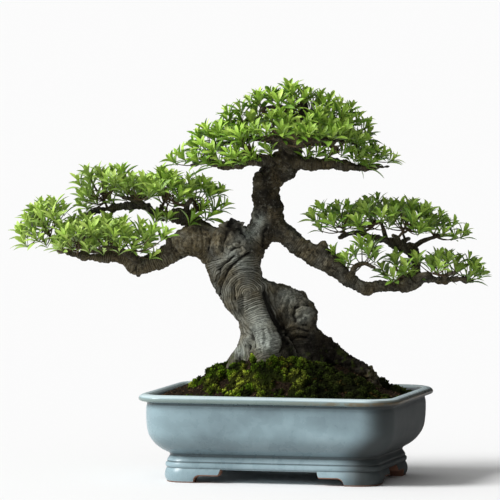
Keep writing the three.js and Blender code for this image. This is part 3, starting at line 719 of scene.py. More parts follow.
# Marks on the trunk's front, as [u, height] in the plane square on to the view.
# A crease or ridge has a depth, a width and a route.
CREASES = [
    [4.5, 2, [
        [-50, 305], [-58, 300], [-64, 296], [-73, 289], [-78, 282], [-82, 274], [-86, 265], [-89, 256],
        [-90, 248],
    ]],
    [3.5, 1.8, [[-71, 301], [-78, 294], [-85, 289], [-89, 284], [-90, 273], [-93, 266]]],
    [2.2, 1.6, [[-62, 312], [-69, 312], [-74, 308]]],
    [2.4, 1.6, [[-39, 282], [-52, 282], [-63, 280], [-70, 275]]],
    [3.5, 2, [[-66, 266], [-70, 262], [-71, 255], [-69, 243]]],
    [3.5, 2.2, [[-59, 246], [-59, 229], [-56, 216], [-50, 204], [-43, 194], [-40, 178]]],
    [2.4, 1.8, [[-69, 243], [-64, 224], [-58, 208], [-47, 194]]],
    [5.5, 4.6, [[-29, 251], [-24, 237], [-19, 221], [-12, 208], [-4, 195], [0, 182]]],
    [4, 2.2, [[13, 212], [9, 221], [12, 230], [20, 233], [29, 233], [37, 227]]],
    [3, 2, [[2, 240], [-1, 227], [3, 215], [13, 209], [26, 207]]],
    [3.2, 2, [[-4, 190], [4, 200], [16, 203], [30, 199]]],
    [3, 2, [[3, 184], [13, 192], [27, 191]]],
    [4.5, 3, [[-9, 203], [-7, 190], [-9, 172]]],
    [2.4, 1.8, [[-30, 198], [-27, 189], [-28, 178]]],
    [3, 2, [[-46, 199], [-45, 188], [-47, 176]]],
    [2.4, 2, [[-82, 331], [-85, 319], [-86, 308]]],
    [2.4, 1.8, [[-62, 194], [-52, 195], [-44, 190]]],
    [1.2, 1.4, [[-129, 332], [-125, 317], [-127, 304]]],
    [1.2, 1.4, [[-116, 338], [-112, 322], [-114, 303]]],
    [1.2, 1.4, [[-101, 327], [-105, 311], [-109, 292]]],
    [3, 2.4, [[-62, 341], [-60, 332], [-55, 327]]],
    [3, 2.2, [[-27, 341], [-32, 330], [-32, 313]]],
]
RIDGES = [
    [5, 12, [[-56, 276], [-53, 258], [-47, 240], [-39, 220], [-30, 202], [-25, 181]]],
    [3, 8, [[-83, 265], [-77, 240], [-66, 216], [-56, 194]]],
    [2.4, 5, [[-64, 246], [-62, 229], [-55, 213], [-47, 200]]],
    [3, 9, [[-24, 263], [-1, 251], [21, 236], [34, 221]]],
    [3, 6, [[-6, 236], [-2, 220], [2, 204]]],
    [2.2, 4, [[-1, 194], [7, 204], [15, 210]]],
    [4.5, 4, [[-86, 341], [-89, 326], [-90, 312]]],
]

# Knots and pits as [u, height, radius, how far they stand out]
KNOTS = [
    [22, 220, 10.8, 6.5], [20, 220, 2.2, -3], [28, 225, 2, -2], [12, 204, 5, 2.5], [22, 198, 5, 2.5],
    [9, 194, 4, 2], [-52, 185, 8.1, 4.5], [-62, 171, 8.1, 3.5], [-31, 172, 10.8, 4], [-8, 179, 9.5, 4],
    [8, 170, 5.4, -5], [-40, 303, 5.4, 2.5], [-39, 273, 5.4, 2], [-117, 297, 5.4, 2.5], [-70, 335, 8.1, -2],
    [-32, 387, 8.1, 3], [-39, 403, 6.8, 3], [49, 315, 8.1, 3], [80, 266, 6.8, 2.5], [103, 255, 8.1, 3],
    [107, 250, 5.4, 2], [-201, 278, 6.8, 2.5], [-159, 305, 8.1, 2.5], [-183, 292, 8.1, 2.5],
    [165, 262, 9.5, 3], [135, 258, 6.8, 2], [64, 292, 8.1, 2.5], [19, 322, 6.8, 2], [-15, 357, 8.1, 2],
    [99, 163, 5.4, 3], [103, 156, 6.8, 3.5], [89, 172, 5.4, 2.5], [73, 183, 5.4, 2],
]

# The front strand's line in that plane, its half width, and how far grain is draped over its top
STRAND = [[-52, 250], [-47, 238], [-40, 222], [-30, 202], [-25, 181], [-25, 150]]
STRAND_HALF_WIDTH = 15
DRAPE_REACH = 60
DRAPE_FADE = 12
DRAPE_EDGE = 0.45
DRAPED = {"column": 1.0, "front_toe": 1.0, "left_root": 0.6, "other": 0.0}

# Bumps and dents that show in the outline, as [u, v, z, radius, how far they stand out]
BUMPS = [
    [-44, -4, 404, 7, -3], [-46, -6, 380, 8, 7.5], [-46, -4, 369, 8, 6.5], [-43, -2, 359, 8, 4.5],
    [1, 4, 376, 13, -6], [1, 4, 357, 12, -3.5], [-40, 0, 391, 5, -1.5], [-9, 4, 385, 15, -7],
    [8, 0, 407, 15, 10], [30, -8, 416, 14, 5.5], [52, -10, 417, 13, 5], [76, -13, 415, 13, 5],
    [100, -13, 414, 12, 4], [-36, -14, 423, 13, 3.5], [-60, -18, 420, 13, 3.5], [-84, -20, 416, 13, 3],
    [-94, -2, 341, 12, -13], [-73, -20, 357, 12, -8], [-53, -8, 342, 9, -8], [-84, -24, 344, 3.5, 3.5],
    [-77, -22, 350, 3, 3.5], [-69, -22, 352, 3, 3], [-61, -25, 348, 3, 3.5], [-79, -34, 343, 3, 3],
    [-28, -16, 297, 10, 4], [-28, 6, 297, 10, 4], [-28, -16, 275, 9, -6.5], [-28, 0, 275, 9, -6.5],
    [-28, 16, 275, 9, -5.5], [-66, -16, 202, 15, -3], [-90, -6, 262, 14, -1.5], [-112, -4, 292, 11, 3.5],
    [-130, -6, 292, 12, -4], [45, -14, 207, 13, -6], [45, 4, 207, 13, -6], [45, 20, 207, 13, -5],
    [12, 8, 259, 14, -2.5], [34, 8, 242, 13, -3.5], [18, 0, 332, 14, -4], [40, -3, 320, 14, -4],
    [6, -2, 308, 13, 4], [30, -4, 291, 14, 3.5], [60, -6, 271, 14, -2.5], [94, -9, 252, 12, -2.5],
    [128, -8, 251, 14, -2.5], [111, -9, 250, 6, 2.5], [77, -8, 268, 7, 2], [64, -8, 302, 6, 2],
    [-210, -12, 280, 10, 5.5], [53, 2, 190, 6, 3], [66, 0, 176, 5, -3], [78, 0, 172, 6, 3.5],
    [90, 2, 160, 6, 3], [103, 8, 148, 10, 1.5], [-140, 14, 341, 12, 7], [-155, 16, 343, 11, 6],
    [-170, 18, 346, 9, 4], [145, 16, 314, 14, 4], [170, 14, 310, 12, 4],
]

# Pale patches (weathered bark and painted highlight) and painted shade patches as [u, height, radius,
# strength]
PALE_PATCHES = [
    [-58, 290, 11, 0.5], [-44, 228, 12, 0.5], [-33, 204, 14, 0.65], [-27, 180, 12, 0.7], [-62, 171, 9, 1],
    [-51, 331, 12, 0.85], [22, 219, 10, 0.5], [-27, 187, 10, 0.4], [2, 234, 12, 0.15], [-78, 296, 14, 0.3],
    [-52, 183, 8, 0.35], [-81, 254, 9, 0.3], [-73, 308, 12, 0.25], [-37, 349, 9, 0.6], [-1, 246, 12, 0.25],
]
PAINTED_SHADE_PATCHES = [
    [-4, 180, 9, 0.8], [-13, 216, 8, 0.9], [-7, 202, 8, 1.1], [3, 186, 11, 1.1], [-2, 222, 8, 0.6],
    [40, 212, 7, 0.6], [30, 180, 16, 1], [56, 172, 22, 1.2], [87, 162, 18, 1.3], [-32, 240, 8, 0.35],
    [-116, 339, 12, 0.7], [-19, 327, 16, 0.5], [-32, 290, 7, 0.7], [-32, 308, 8, 0.5], [-94, 267, 7, 0.5],
    [17, 220, 4, 0.7], [38, 224, 5, 0.7], [-69, 335, 8, 0.9], [8, 170, 8, 0.9], [-28, 383, 9, 0.6],
]


class Limbs:
    """Distance to the smooth union of limbs, and what is nearest where."""

    def __init__(self, names):
        self.names = names
        self.lines = [curve_through(LIMBS[name], FIELD_STEP) for name in names]

    def around(self, places):
        """Distance, outward direction, length along the limb, and how purely each limb is nearest."""
        shape = (len(self.lines), len(places))
        distance = np.full(shape, FAR)
        along = np.zeros(shape)
        outward = np.zeros((*shape, 3))
        for row, line in enumerate(self.lines):
            reach = line[:, 3].max() + FIELD_REACH
            low = line[:, :3].min(axis=0) - reach
            high = line[:, :3].max(axis=0) + reach
            near = np.flatnonzero(((places > low) & (places < high)).all(axis=1))
            if len(near):
                nearest = nearest_on_line(line, places[near])
                distance[row, near], along[row, near], outward[row, near] = nearest
        share = np.exp(-(distance - distance.min(axis=0)) / FIELD_BLEND)
        total = share.sum(axis=0)
        joined = distance.min(axis=0) - FIELD_BLEND * np.log(total)
        weight = share / total
        direction = unit((weight[:, :, None] * outward).sum(axis=0))
        return joined, direction, along, weight


def nearest_on_line(line, places):
    """Distance to a limb's surface, length along it and the outward direction, at places."""
    best = np.full(len(places), FAR)
    along = np.zeros(len(places))
    outward = np.zeros((len(places), 3))
    done = 0.0
    for start, end in zip(line[:-1], line[1:]):
        span = end[:3] - start[:3]
        length = np.linalg.norm(span)
        share = np.clip((places - start[:3]) @ span / length ** 2, 0, 1)
        away = places - start[:3] - share[:, None] * span
        spread = np.linalg.norm(away, axis=1)
        gap = spread - start[3] - share * (end[3] - start[3])
        closer = gap < best
        best[closer] = gap[closer]
        along[closer] = done + share[closer] * length
        outward[closer] = away[closer] / np.maximum(spread[closer, None], 1e-6)
        done += length
    return best, along, outward


def onto_limbs(places, limbs):
    """Places moved onto the limbs' joined surface, with the stump's rotted hollow."""
    hollow, hollow_radius = np.array(HOLLOW[:3]), HOLLOW[3]
    for _ in range(SNAP_ROUNDS):
        gap, outward, along, weight = limbs.around(places)
        from_hollow = places - hollow
        depth = hollow_radius - np.linalg.norm(from_hollow, axis=1)
        inside = depth > gap
        gap = np.where(inside, depth, gap)
        outward = np.where(inside[:, None], -unit(from_hollow), outward)
        places = places - np.clip(gap, -SNAP_REACH, SNAP_REACH)[:, None] * outward
    return places, outward, along, weight


def distance_to_route(places, route):
    """How far places in a plane are from a route of straight stretches."""
    best = np.full(len(places), FAR)
    for start, end in zip(np.array(route[:-1], float), np.array(route[1:], float)):
        span = end - start
        share = np.clip((places - start) @ span / (span @ span), 0, 1)
        best = np.minimum(best, np.linalg.norm(places - start - share[:, None] * span, axis=1))
    return best


def in_view_plane(places):
    """Places as u and height in the plane square on to the view."""
    return np.column_stack([places[:, 0], places[:, 2] + places[:, 1] * math.tan(MARK_LIFT)])


def creased(flat, facing):
    """How far the front is cut in or rolled up beside creases, and raised along ridges."""
    change = np.zeros(len(flat))
    for depth, width, route in CREASES:
        away = distance_to_route(flat, route) / width
        change += depth * (ROLL_HEIGHT * np.exp(-(away - ROLL_OFFSET) ** 2) - np.exp(-away ** 2))
    for height, width, route in RIDGES:
        change += height * np.exp(-(distance_to_route(flat, route) / width) ** 2)
    return change * facing


def spotted(places, spots):
    """The sum of round soft spots, each with a middle, a radius and a strength."""
    change = np.zeros(len(places))
    for *middle, radius, strength in spots:
        away = np.linalg.norm(places - middle, axis=1) / radius
        change += strength * np.exp(-away ** 2)
    return change


def by_limb(table, names, weight):
    """A table's values at places, mixed as the limbs are there."""
    values = np.array([table.get(name, table["other"]) for name in names])
    return values @ weight


def grain_of(names, along, weight):
    """Length along the limb whose grain a place follows, how purely it is that limb's, and which it is."""
    leaders = [names.index(GRAIN_LEADERS.get(name, name)) for name in names]
    shared = np.zeros_like(weight)
    for row, leader in enumerate(leaders):
        shared[leader] += weight[row]
    main = shared.argmax(axis=0)
    column = np.arange(weight.shape[1])
    return along[main, column], fade(shared[main, column], 0.3, 0.65), main


def draped(flat):
    """Length along the grain that runs over the front strand's top and across it, and how near it is."""
    top, foot = np.array(STRAND[0], float), np.array(STRAND[-1], float)
    beside = distance_to_route(flat, STRAND)
    down = (flat - top) @ ((foot - top) / np.linalg.norm(foot - top))
    on_strand = (beside < STRAND_HALF_WIDTH) & (down > 0)
    return np.where(on_strand, down, beside), fade(beside, DRAPE_REACH, DRAPE_REACH - DRAPE_FADE)


def ring_pattern(places, flat, facing, along, weight, names):
    """Length along the grain, how strongly it is ringed, the rings' height, and which limb they follow."""
    length, purity, main = grain_of(names, along, weight)
    over, near = draped(flat)
    drape = facing * near * by_limb(DRAPED, names, weight)
    length = np.where(drape > DRAPE_EDGE, over, length)
    length = length + 1.6 * lumps(places, 15, 2, 5) + 4 * lumps(places, 45, 1, 8)
    ringed = by_limb(RINGED, names, weight) * np.maximum(0.25 + 0.75 * purity, drape)
    ringed = ringed * fade(np.abs(drape - DRAPE_EDGE), 0, 0.1)
    phase = length / RING_PITCH
    stacked = np.column_stack([places[:, :2] / RING_PATCH_WIDTH, phase / RING_PATCH_COUNT])
    ringed_here = ringed * np.clip(0.8 + 1.1 * lumps(stacked, 1.0, 2, 2), 0.1, 1)
    valley = np.exp(-(np.sin(math.pi * phase) / 0.5) ** 2)
    return length, ringed_here, ringed_here * (0.5 - 1.3 * valley), main


def barked(places, outward, along, weight, names):
    """Places with rings, folds, creases and knots, and the values that colour them."""
    facing = fade(-outward[:, 1], -0.1, 0.45)
    wobble = np.column_stack([lumps(places, 16, 2, 3), lumps(places, 16, 2, 9)])
    flat = in_view_plane(places) + wobble
    length, ringed, rings, main = ring_pattern(places, flat, facing, along, weight, names)
    around = np.column_stack([places[:, :2] / FOLD_WIDTH, (length + FOLD_SHIFT * main) / FOLD_LENGTH])
    marked = np.clip(fade(places[:, 2], MARKED_BELOW, MARKED_BELOW - MARKED_FADE) * facing, 0, 1)
    folds = FOLD_DEPTH * (1 - MARKED_SHARE * marked) * lumps(around, 1.0, 2, 7)
    rough = by_limb(ROUGHNESS, names, weight) * lumps(places, 7, 3, 1)
    cut = creased(flat, facing)
    knots = facing * spotted(flat, KNOTS) + spotted(places, BUMPS)
    change = RING_DEPTH * rings + folds + rough + cut + knots
    # Low in ring valleys, creases, folds and lumps, where the bark is darkened with painted shade
    cavity = 0.6 + 0.6 * rings + 0.22 * np.minimum(cut, 1) + 0.1 * folds + 0.16 * rough
    from_hollow = np.linalg.norm(places - HOLLOW[:3], axis=1)
    # How fully a place is in the stump's hollow, which gets painted shade
    in_hollow = fade(from_hollow, HOLLOW[3] + HOLLOW_SHADE, HOLLOW[3])
    values = {
        "cavity": np.clip(cavity, 0, 1),
        "grey": np.clip(by_limb(GREYNESS, names, weight) + 0.22 * lumps(places, 26, 2, 4), 0, 1),
        "warm": np.clip(by_limb(WARMTH, names, weight) + 0.9 * lumps(places, 22, 2, 13), 0, 1),
        "along": length,
        "ringed": ringed,
        # Pale patches, partly weathered bark and partly painted highlight
        "pale": facing * spotted(flat, PALE_PATCHES),
        # Dark patches and the stump's hollow: painted shade
        "dark": np.clip(facing * spotted(flat, PAINTED_SHADE_PATCHES) + in_hollow, 0, 1),
    }
    return places + change[:, None] * outward, values


def thick_wood(shape):
    """Roots, trunk, stump and boughs as one barked surface."""
    names = [name for name, route in LIMBS.items() if route[0][3] >= THICK_LIMB]
    limbs = Limbs(names)
    rough = Shape()
    for name in names:
        rough.add(*tube(curve_through(LIMBS[name], TUBE_STEP), THICK_SIDES))
    even = remeshed(rough.mesh("thick_wood", unmoved), WOOD_VOXEL, WOOD_SMOOTHING)
    places, outward, along, weight = onto_limbs(by_vertex(even, "co"), limbs)
    places, values = barked(places, outward, along, weight, names)
    shape.add(places, faces_of(even), **values)


def thin_wood(shape):
    """Thin branches as slightly knobbly tubes."""
    for route in LIMBS.values():
        if route[0][3] >= THICK_LIMB:
            continue
        line = curve_through(route, TUBE_STEP)
        points, faces = tube(line, THIN_SIDES)
        swell = lumps(points, 6, 2, 6)
        centres = np.vstack([np.repeat(line[:, :3], THIN_SIDES, axis=0), line[:1, :3], line[-1:, :3]])
        points = points + THIN_SWELL * swell[:, None] * unit(points - centres)
        length = np.linalg.norm(points - line[0, :3], axis=1)
        values = {
            # Lower in the twig's dents, where it is darkened with painted shade
            "cavity": np.clip(0.6 + 0.5 * swell, 0, 1),
            "grey": GREYNESS["other"] + 0.1 * swell,
            "warm": WARMTH["other"],
            "along": length,
            "ringed": RINGED["other"],
            "pale": 0.0,
            "dark": 0.0,
        }
        shape.add(points, faces, **values)


def bark_finish():
    finish = Finish("grey_bark", Roughness=0.84, Specular_IOR_Level=0.12)
    cavity, ringed = finish.value_of("cavity"), finish.value_of("ringed")
    patches = finish.grain(60, 4, 0.6)
    flecks = finish.grain(380, 3, 0.7)
    fine = finish.grain(1100, 3, 0.6)
    dark = finish.ramp(patches, [(0.32, tone(26, 23, 17)), (0.7, tone(60, 54, 42))])
    light = finish.ramp(patches, [(0.32, tone(84, 83, 74)), (0.7, tone(134, 134, 123))])
    mottle = finish.grain(190, 6, 0.8)
    plain = 1 - ringed * 0.7
    phase = finish.value_of("along") * (2 / RING_PITCH)
    ripple = finish.node("ShaderNodeMath", {"operation": "PINGPONG"}, {0: phase, 1: 0.5})[0]
    lines = ripple.step(0.17, 0.03) * ringed
    cracks = abs(finish.grain(95, 5, 0.65) - 0.5).step(0.028, 0.004) * (1 - ringed)
    mossy = finish.parts()["Z"].step(0.19, 0.155) * finish.grain(120, 3).step(0.52, 0.64)
    colour = finish.layered(
        # Greyness by limb, partly the bark's own colour and partly painted shade
        finish.blend(dark, light, finish.value_of("grey")),
        (tone(104, 90, 58), finish.value_of("warm") * 0.55),
        (tone(128, 130, 122), mottle.step(0.53, 0.66) * plain * 0.42),
        (tone(30, 27, 20), mottle.step(0.51, 0.38) * plain * 0.9),
        # Pale patches: weathered bark and painted highlight
        (tone(162, 169, 161), finish.value_of("pale") * (0.4 + flecks * 0.8)),
        # Dark patches: painted shade
        (tone(22, 18, 13), finish.value_of("dark") * 0.9),
        # Light crests between the ring lines: painted highlight
        (tone(158, 162, 155), ripple.step(0.3, 0.5) * ringed ** 2 * 0.35),
        (tone(26, 24, 18), lines * (0.6 + flecks * 0.7)),
        (tone(18, 15, 11), cracks * 0.75),
        (tone(150, 150, 140), flecks.step(0.58, 0.8) * 0.22),
    )
    # Darkened in crevices: painted shade
    colour = finish.blend(tone(14, 12, 9), colour, cavity.step(0.05, 0.55) * 0.85 + 0.15)
    finish.connect("Base Color", finish.blend(colour, tone(62, 74, 26), mossy * 0.7))
    finish.bump(fine * 0.3 + flecks * 0.6 - lines * 0.7 - cracks * 0.6, 0.0012)
    return finish.material


def make_wood():
    shape = Shape()
    thick_wood(shape)
    thin_wood(shape)
    mesh = thinned(shape.mesh("bark", to_row), WOOD_TRIANGLES)
    mesh.materials.append(bark_finish())
    add_piece("trunk_and_branches", mesh, "bark", "wood")


# Leaves

LEAF_LENGTH = 24.5
LEAF_HALF_WIDTH = 0.135
LEAF_THICKNESS = 0.02
LEAF_ARCH = 0.06
LEAF_EDGE = math.radians(100)
# A blade's sections, as how far along its length they are and how large a share of its full width they have
LEAF_STATIONS = [[0, 0.14], [0.15, 0.22], [0.36, 0.6], [0.56, 0.95], [0.74, 0.98], [0.89, 0.62], [1.0, 0.05]]
# Leaf forms as how far the blade curls back and how much it is folded along its midrib
LEAF_FORMS = [[0.14, 0.4], [0.26, 0.3], [0.02, 0.5]]
LEAVES_PER_SHOOT = 10
GOLDEN_TURN = math.radians(137.5)
INNER_LEAN = 0.2
OUTER_LEAN = 1.1
# How much a leaf's lean, turn, roll and length vary
LEAN_CHANCE = 0.16
TURN_CHANCE = 0.3
ROLL_CHANCE = 0.35
LENGTH_CHANCE = 0.16

# Rings of shoots in a spray as radius, drop, number and how far they lean outwards
SHOOT_RINGS = [[0, 0, 1, 0], [14, 3, 5, 0.25], [27, 11, 8, 0.5], [20, 23, 6, 0.9], [36, 21, 7, 0.8]]
# How much a shoot's place round its ring, its ring's radius and drop, and its direction vary
PLACE_CHANCE = 0.25
RADIUS_CHANCE = (0.85, 1.1)
DROP_CHANCE = 3
AXIS_CHANCE = 0.15
# How near shoots come to each other, how strongly they turn upwards, and how far they stay above their limbs
SHOOT_SPACING = 13
SHOOT_LIFT = 0.8
SHOOT_CLEARANCE = 4
EDGE_CLEARANCE = -8
# Single shoots that fill out a pad's edge, as [u, v, z, how strongly they turn upwards]
EDGE_SHOOTS = {
    "crown": [
        [128, -8, 436, 0.6], [142, -8, 431, 0.5], [116, -20, 430, 0.6], [-141, -14, 434, 0.5],
        [-153, -16, 429, 0.4], [-130, -24, 432, 0.6], [-120, -32, 430, 0.6], [-106, -34, 428, 0.5],
        [-91, -34, 430, 0.6], [-75, -34, 428, 0.5], [-58, -32, 431, 0.6], [-42, -28, 436, 0.6],
        [28, -22, 438, 0.5], [42, -26, 440, 0.6], [56, -30, 436, 0.5], [77, -30, 431, 0.6],
        [95, -28, 430, 0.6], [60, 2, 494, 0.8], [73, 0, 486, 0.8], [84, -4, 478, 0.8], [96, 2, 470, 0.8],
        [107, 4, 461, 0.8], [70, -16, 503, 0.9], [80, 12, 494, 0.9], [95, -10, 484, 0.9],
        [86, -4, 498, 1.0], [76, -30, 494, 0.9], [105, 10, 473, 0.9], [-24, -18, 442, 0.6],
        [30, -42, 432, 0.4], [15, -54, 450, 0.5], [47, -54, 458, 0.6], [-32, -48, 452, 0.5],
        [-48, -46, 438, 0.5], [2, -52, 464, 0.6], [-118, -34, 422, -0.3], [-104, -36, 420, -0.3],
        [-62, -6, 498, 1.0], [-79, -8, 494, 1.0], [-122, -8, 466, 0.9],
    ],
    "lower_left": [
        [-291, -40, 316, 0.4], [-267, -48, 313, 0.5], [-245, -52, 312, 0.5], [-224, -50, 312, 0.6],
        [-310, -34, 317, 0.5], [-326, -26, 320, 0.6], [-346, -10, 334, 0.6], [-180, -54, 334, 0.6],
        [-165, -60, 330, 0.6], [-341, -14, 349, 0.9],
    ],
    "upper_left": [
        [-104, 8, 383, 0.8], [-94, 10, 378, 0.7], [-97, 14, 364, 0.5], [-86, 6, 367, 0.5],
        [-113, -4, 366, 0.5], [-90, 18, 387, 0.8], [-170, 0, 412, 1.0], [-145, -8, 353, 0.4],
        [-160, -6, 352, 0.3], [-128, -8, 348, 0.5], [-176, -2, 351, 0.3], [-115, -2, 352, 0.5],
        [-101, 4, 354, 0.3], [-280, 8, 398, 0.6], [-268, 2, 412, 1.0], [-250, 0, 413, 1.0],
    ],
    "upper_right": [
        [38, 6, 350, 0.6], [48, -2, 364, 0.9], [44, 12, 338, 0.4], [238, 10, 330, 0.4], [224, 8, 342, 0.6],
        [226, 0, 328, 0.3], [180, 10, 366, 0.9], [190, -4, 361, 0.8],
    ],
    "lower_right": [
        [246, -6, 272, 0.6], [256, 6, 268, 0.4], [263, -4, 281, 0.5], [63, -10, 305, 0.3],
        [254, -4, 262, -1.2], [128, -20, 276, 0.6],
    ],
}
SHOOT_LENGTH = 9
HUB_DEPTH = 22
BRANCHLET_RADII = [2.0, 1.3]
BRANCHLET_SIDES = 6
BRANCHLET_SAG = 0.1
TWIG_RADII = [1.0, 0.6]
TIP_RADII = [0.6, 0.5]
TIP_LENGTH = 5
TWIG_SIDES = 5
TWIG_SAG = 0.12
TWIG_STEPS = 7
# The range of a branchlet's points that twigs fork from, its end left out
FORKS = (3, 7)


def leaf_mesh(name, curl, fold):
    """A thin pointed blade along +Z, a unit long, whose upper face looks along +Y."""
    points = []
    across = [-1, 0, 1, 0]
    for along, share in LEAF_STATIONS:
        half = LEAF_HALF_WIDTH * share
        bend = -curl * along ** 2 + LEAF_ARCH * math.sin(math.pi * along)
        for index, side in enumerate(across):
            under = LEAF_THICKNESS * (1.2 - along) if index == 3 else 0
            points.append((side * half, bend + fold * half * abs(side) - under, along))
    count = len(across)
    faces = [(a, d, c, b) for a, b, c, d in ring_faces(len(LEAF_STATIONS), count)]
    faces.append(tuple(range(count)))
    faces.append(tuple(reversed(range(len(points) - count, len(points)))))
    mesh = bpy.data.meshes.new(name)
    mesh.from_pydata(points, [], faces)
    blade = mesh.uv_layers.new(name="blade")
    for loop in mesh.loops:
        row, side = divmod(loop.vertex_index, count)
        blade.data[loop.index].uv = (0.5 + 0.5 * across[side], LEAF_STATIONS[row][0])
    mesh.shade_smooth()
    mesh.set_sharp_from_angle(angle=LEAF_EDGE)
    return mesh


def shoot_growth():
    """Puts whorls of leaves on points that have a direction, a turn and a size."""
    nodes = Growth("leafy_shoots", [
        ("Points", "Geometry", None), ("Leaves", "Collection", None), ("Material", "Material", None),
        ("Leaves per shoot", "Int", LEAVES_PER_SHOOT), ("Inner lean", "Float", INNER_LEAN),
        ("Outer lean", "Float", OUTER_LEAN), ("Leaf length", "Float", LEAF_LENGTH * MM),
        ("Seed", "Int", SEED),
    ])
    given = nodes.given
    per_shoot = given["Leaves per shoot"]
    copies = nodes.node("GeometryNodeDuplicateElements", {"domain": "POINT"}, {
        "Geometry": given["Points"], "Amount": per_shoot,
    })
    number = copies["Duplicate Index"]
    age = nodes.node("ShaderNodeMath", {"operation": "DIVIDE"}, {0: number, 1: per_shoot})[0]
    axis = nodes.named("axis", "FLOAT_VECTOR")
    lean = given["Inner lean"] + (given["Outer lean"] - given["Inner lean"]) * age ** 0.7
    lean = lean + nodes.chance(-LEAN_CHANCE, LEAN_CHANCE, 1)
    turn = nodes.named("turn") + number * GOLDEN_TURN + nodes.chance(-TURN_CHANCE, TURN_CHANCE, 2)
    upright = nodes.node("FunctionNodeAlignRotationToVector", {"axis": "Z"}, {"Vector": axis})["Rotation"]
    leaning = nodes.rotated(upright, lean, 0.0, turn)
    rolled = nodes.rotated(leaning, 0.0, 0.0, nodes.chance(-ROLL_CHANCE, ROLL_CHANCE, 3))
    length = given["Leaf length"] * nodes.named("size") * (0.62 + 0.38 * age ** 0.5)
    length = length * nodes.chance(1 - LENGTH_CHANCE, 1 + LENGTH_CHANCE, 4)
    drop = nodes.node("ShaderNodeVectorMath", {"operation": "SCALE"}, {
        0: axis, "Scale": age * -SHOOT_LENGTH * MM,
    })["Vector"]
    moved = nodes.node("GeometryNodeSetPosition", None, {"Geometry": copies["Geometry"], "Offset": drop})
    forms = nodes.node("GeometryNodeCollectionInfo", None, {
        "Collection": given["Leaves"], "Separate Children": True, "Reset Children": True,
    })
    pick = nodes.node("FunctionNodeRandomValue", {"data_type": "INT"}, {
        4: 0, 5: len(LEAF_FORMS) - 1, "Seed": given["Seed"] + 5,
    })
    leaves = nodes.node("GeometryNodeInstanceOnPoints", None, {
        "Points": moved["Geometry"], "Instance": forms["Instances"], "Pick Instance": True,
        "Instance Index": pick[2], "Rotation": rolled, "Scale": length,
    })
    tinted = nodes.marked(leaves["Instances"], "tint", nodes.chance(0.0, 1.0, 6))
    nodes.end(nodes.dressed(nodes.marked(tinted, "age", age), given["Material"]))
    return nodes


def joined_mesh(name, meshes):
    """One object of several meshes, with their materials."""
    things = [add_object(f"{name}_{index}", mesh) for index, mesh in enumerate(meshes)]
    with bpy.context.temp_override(
        active_object=things[0], object=things[0],
        selected_objects=things, selected_editable_objects=things,
    ):
        bpy.ops.object.join()
    things[0].name = name
    things[0].data.name = name
    return things[0]


def edge_shoots_of(pad_name, index):
    """The edge shoots of a pad that are nearest to one of its sprays."""
    sprays = np.array(PADS[pad_name]["sprays"], float)
    nearest = [np.linalg.norm(sprays - shoot[:3], axis=1).argmin() for shoot in EDGE_SHOOTS[pad_name]]
    return [shoot for shoot, spray in zip(EDGE_SHOOTS[pad_name], nearest) if spray == index]


def shoots_of(pad, spray, edge_shoots, taken, chance):
    """Places and directions of a spray's shoots, clear of those that are taken."""
    middle = np.array(spray, float)
    outward = unit(middle - np.array(pad["focus"], float))
    across = unit(np.cross(outward, [0, 1, 0]))
    third = np.cross(outward, across)
    start = chance.uniform(0, 2 * math.pi)
    places, axes = [], []

    def add(place, axis, lift, clearance):
        above = place[2] - nearest_limb_point(pad["limbs"], place)[2]
        if above > clearance and all(np.linalg.norm(place - other) > SHOOT_SPACING for other in taken):
            taken.append(place)
            places.append(place)
            axes.append(unit(axis + [0, 0, lift] + chance.uniform(-AXIS_CHANCE, AXIS_CHANCE, 3)))

    for radius, drop, most, spread in SHOOT_RINGS:
        number = math.ceil(most * pad["fullness"])
        for index in range(number):
            angle = start + 2 * math.pi * (index + chance.uniform(-PLACE_CHANCE, PLACE_CHANCE)) / number
            side = across * math.cos(angle) + third * math.sin(angle)
            place = middle + side * radius * chance.uniform(*RADIUS_CHANCE)
            place = place - outward * (drop + chance.uniform(-DROP_CHANCE, DROP_CHANCE))
            add(place, outward + side * spread, SHOOT_LIFT, SHOOT_CLEARANCE)
    for *place, lift in edge_shoots:
        add(np.array(place, float), outward, lift, EDGE_CLEARANCE)
    return np.array(places), np.array(axes), outward


def nearest_limb_point(names, place):
    """The point of some limbs' middle lines that is nearest to a place."""
    lines = np.vstack([curve_through(LIMBS[name], FIELD_STEP)[:, :3] for name in names])
    return lines[np.linalg.norm(lines - place, axis=1).argmin()]


def bent_line(start, end, radii, sag):
    """A line from start to end that sags in the middle, as a young twig does."""
    shares = np.linspace(0, 1, TWIG_STEPS)[:, None]
    line = start + (end - start) * shares
    line[:, 2] -= sag * np.linalg.norm(end - start) * np.sin(math.pi * shares[:, 0])
    widths = radii[0] + (radii[1] - radii[0]) * shares
    return np.hstack([line, widths])


def twigs_of(pad, middle, outward, places, axes, chance):
    """A branchlet from the nearest limb, and a twig from it to each shoot, greener towards its tip."""
    shape = Shape()
    hub = middle - outward * HUB_DEPTH
    root = nearest_limb_point(pad["limbs"], hub)
    branchlet = bent_line(root, hub, BRANCHLET_RADII, BRANCHLET_SAG)
    shape.add(*tube(branchlet, BRANCHLET_SIDES), green=0.2)
    for place, axis in zip(places, axes):
        fork = branchlet[chance.integers(*FORKS), :3]
        tip = place - axis * TIP_LENGTH
        shape.add(*tube(bent_line(fork, tip, TWIG_RADII, TWIG_SAG), TWIG_SIDES), green=0.3)
        shape.add(*tube(bent_line(tip, place, TIP_RADII, 0), TWIG_SIDES), green=0.9)
    return shape.mesh("twigs", to_row)


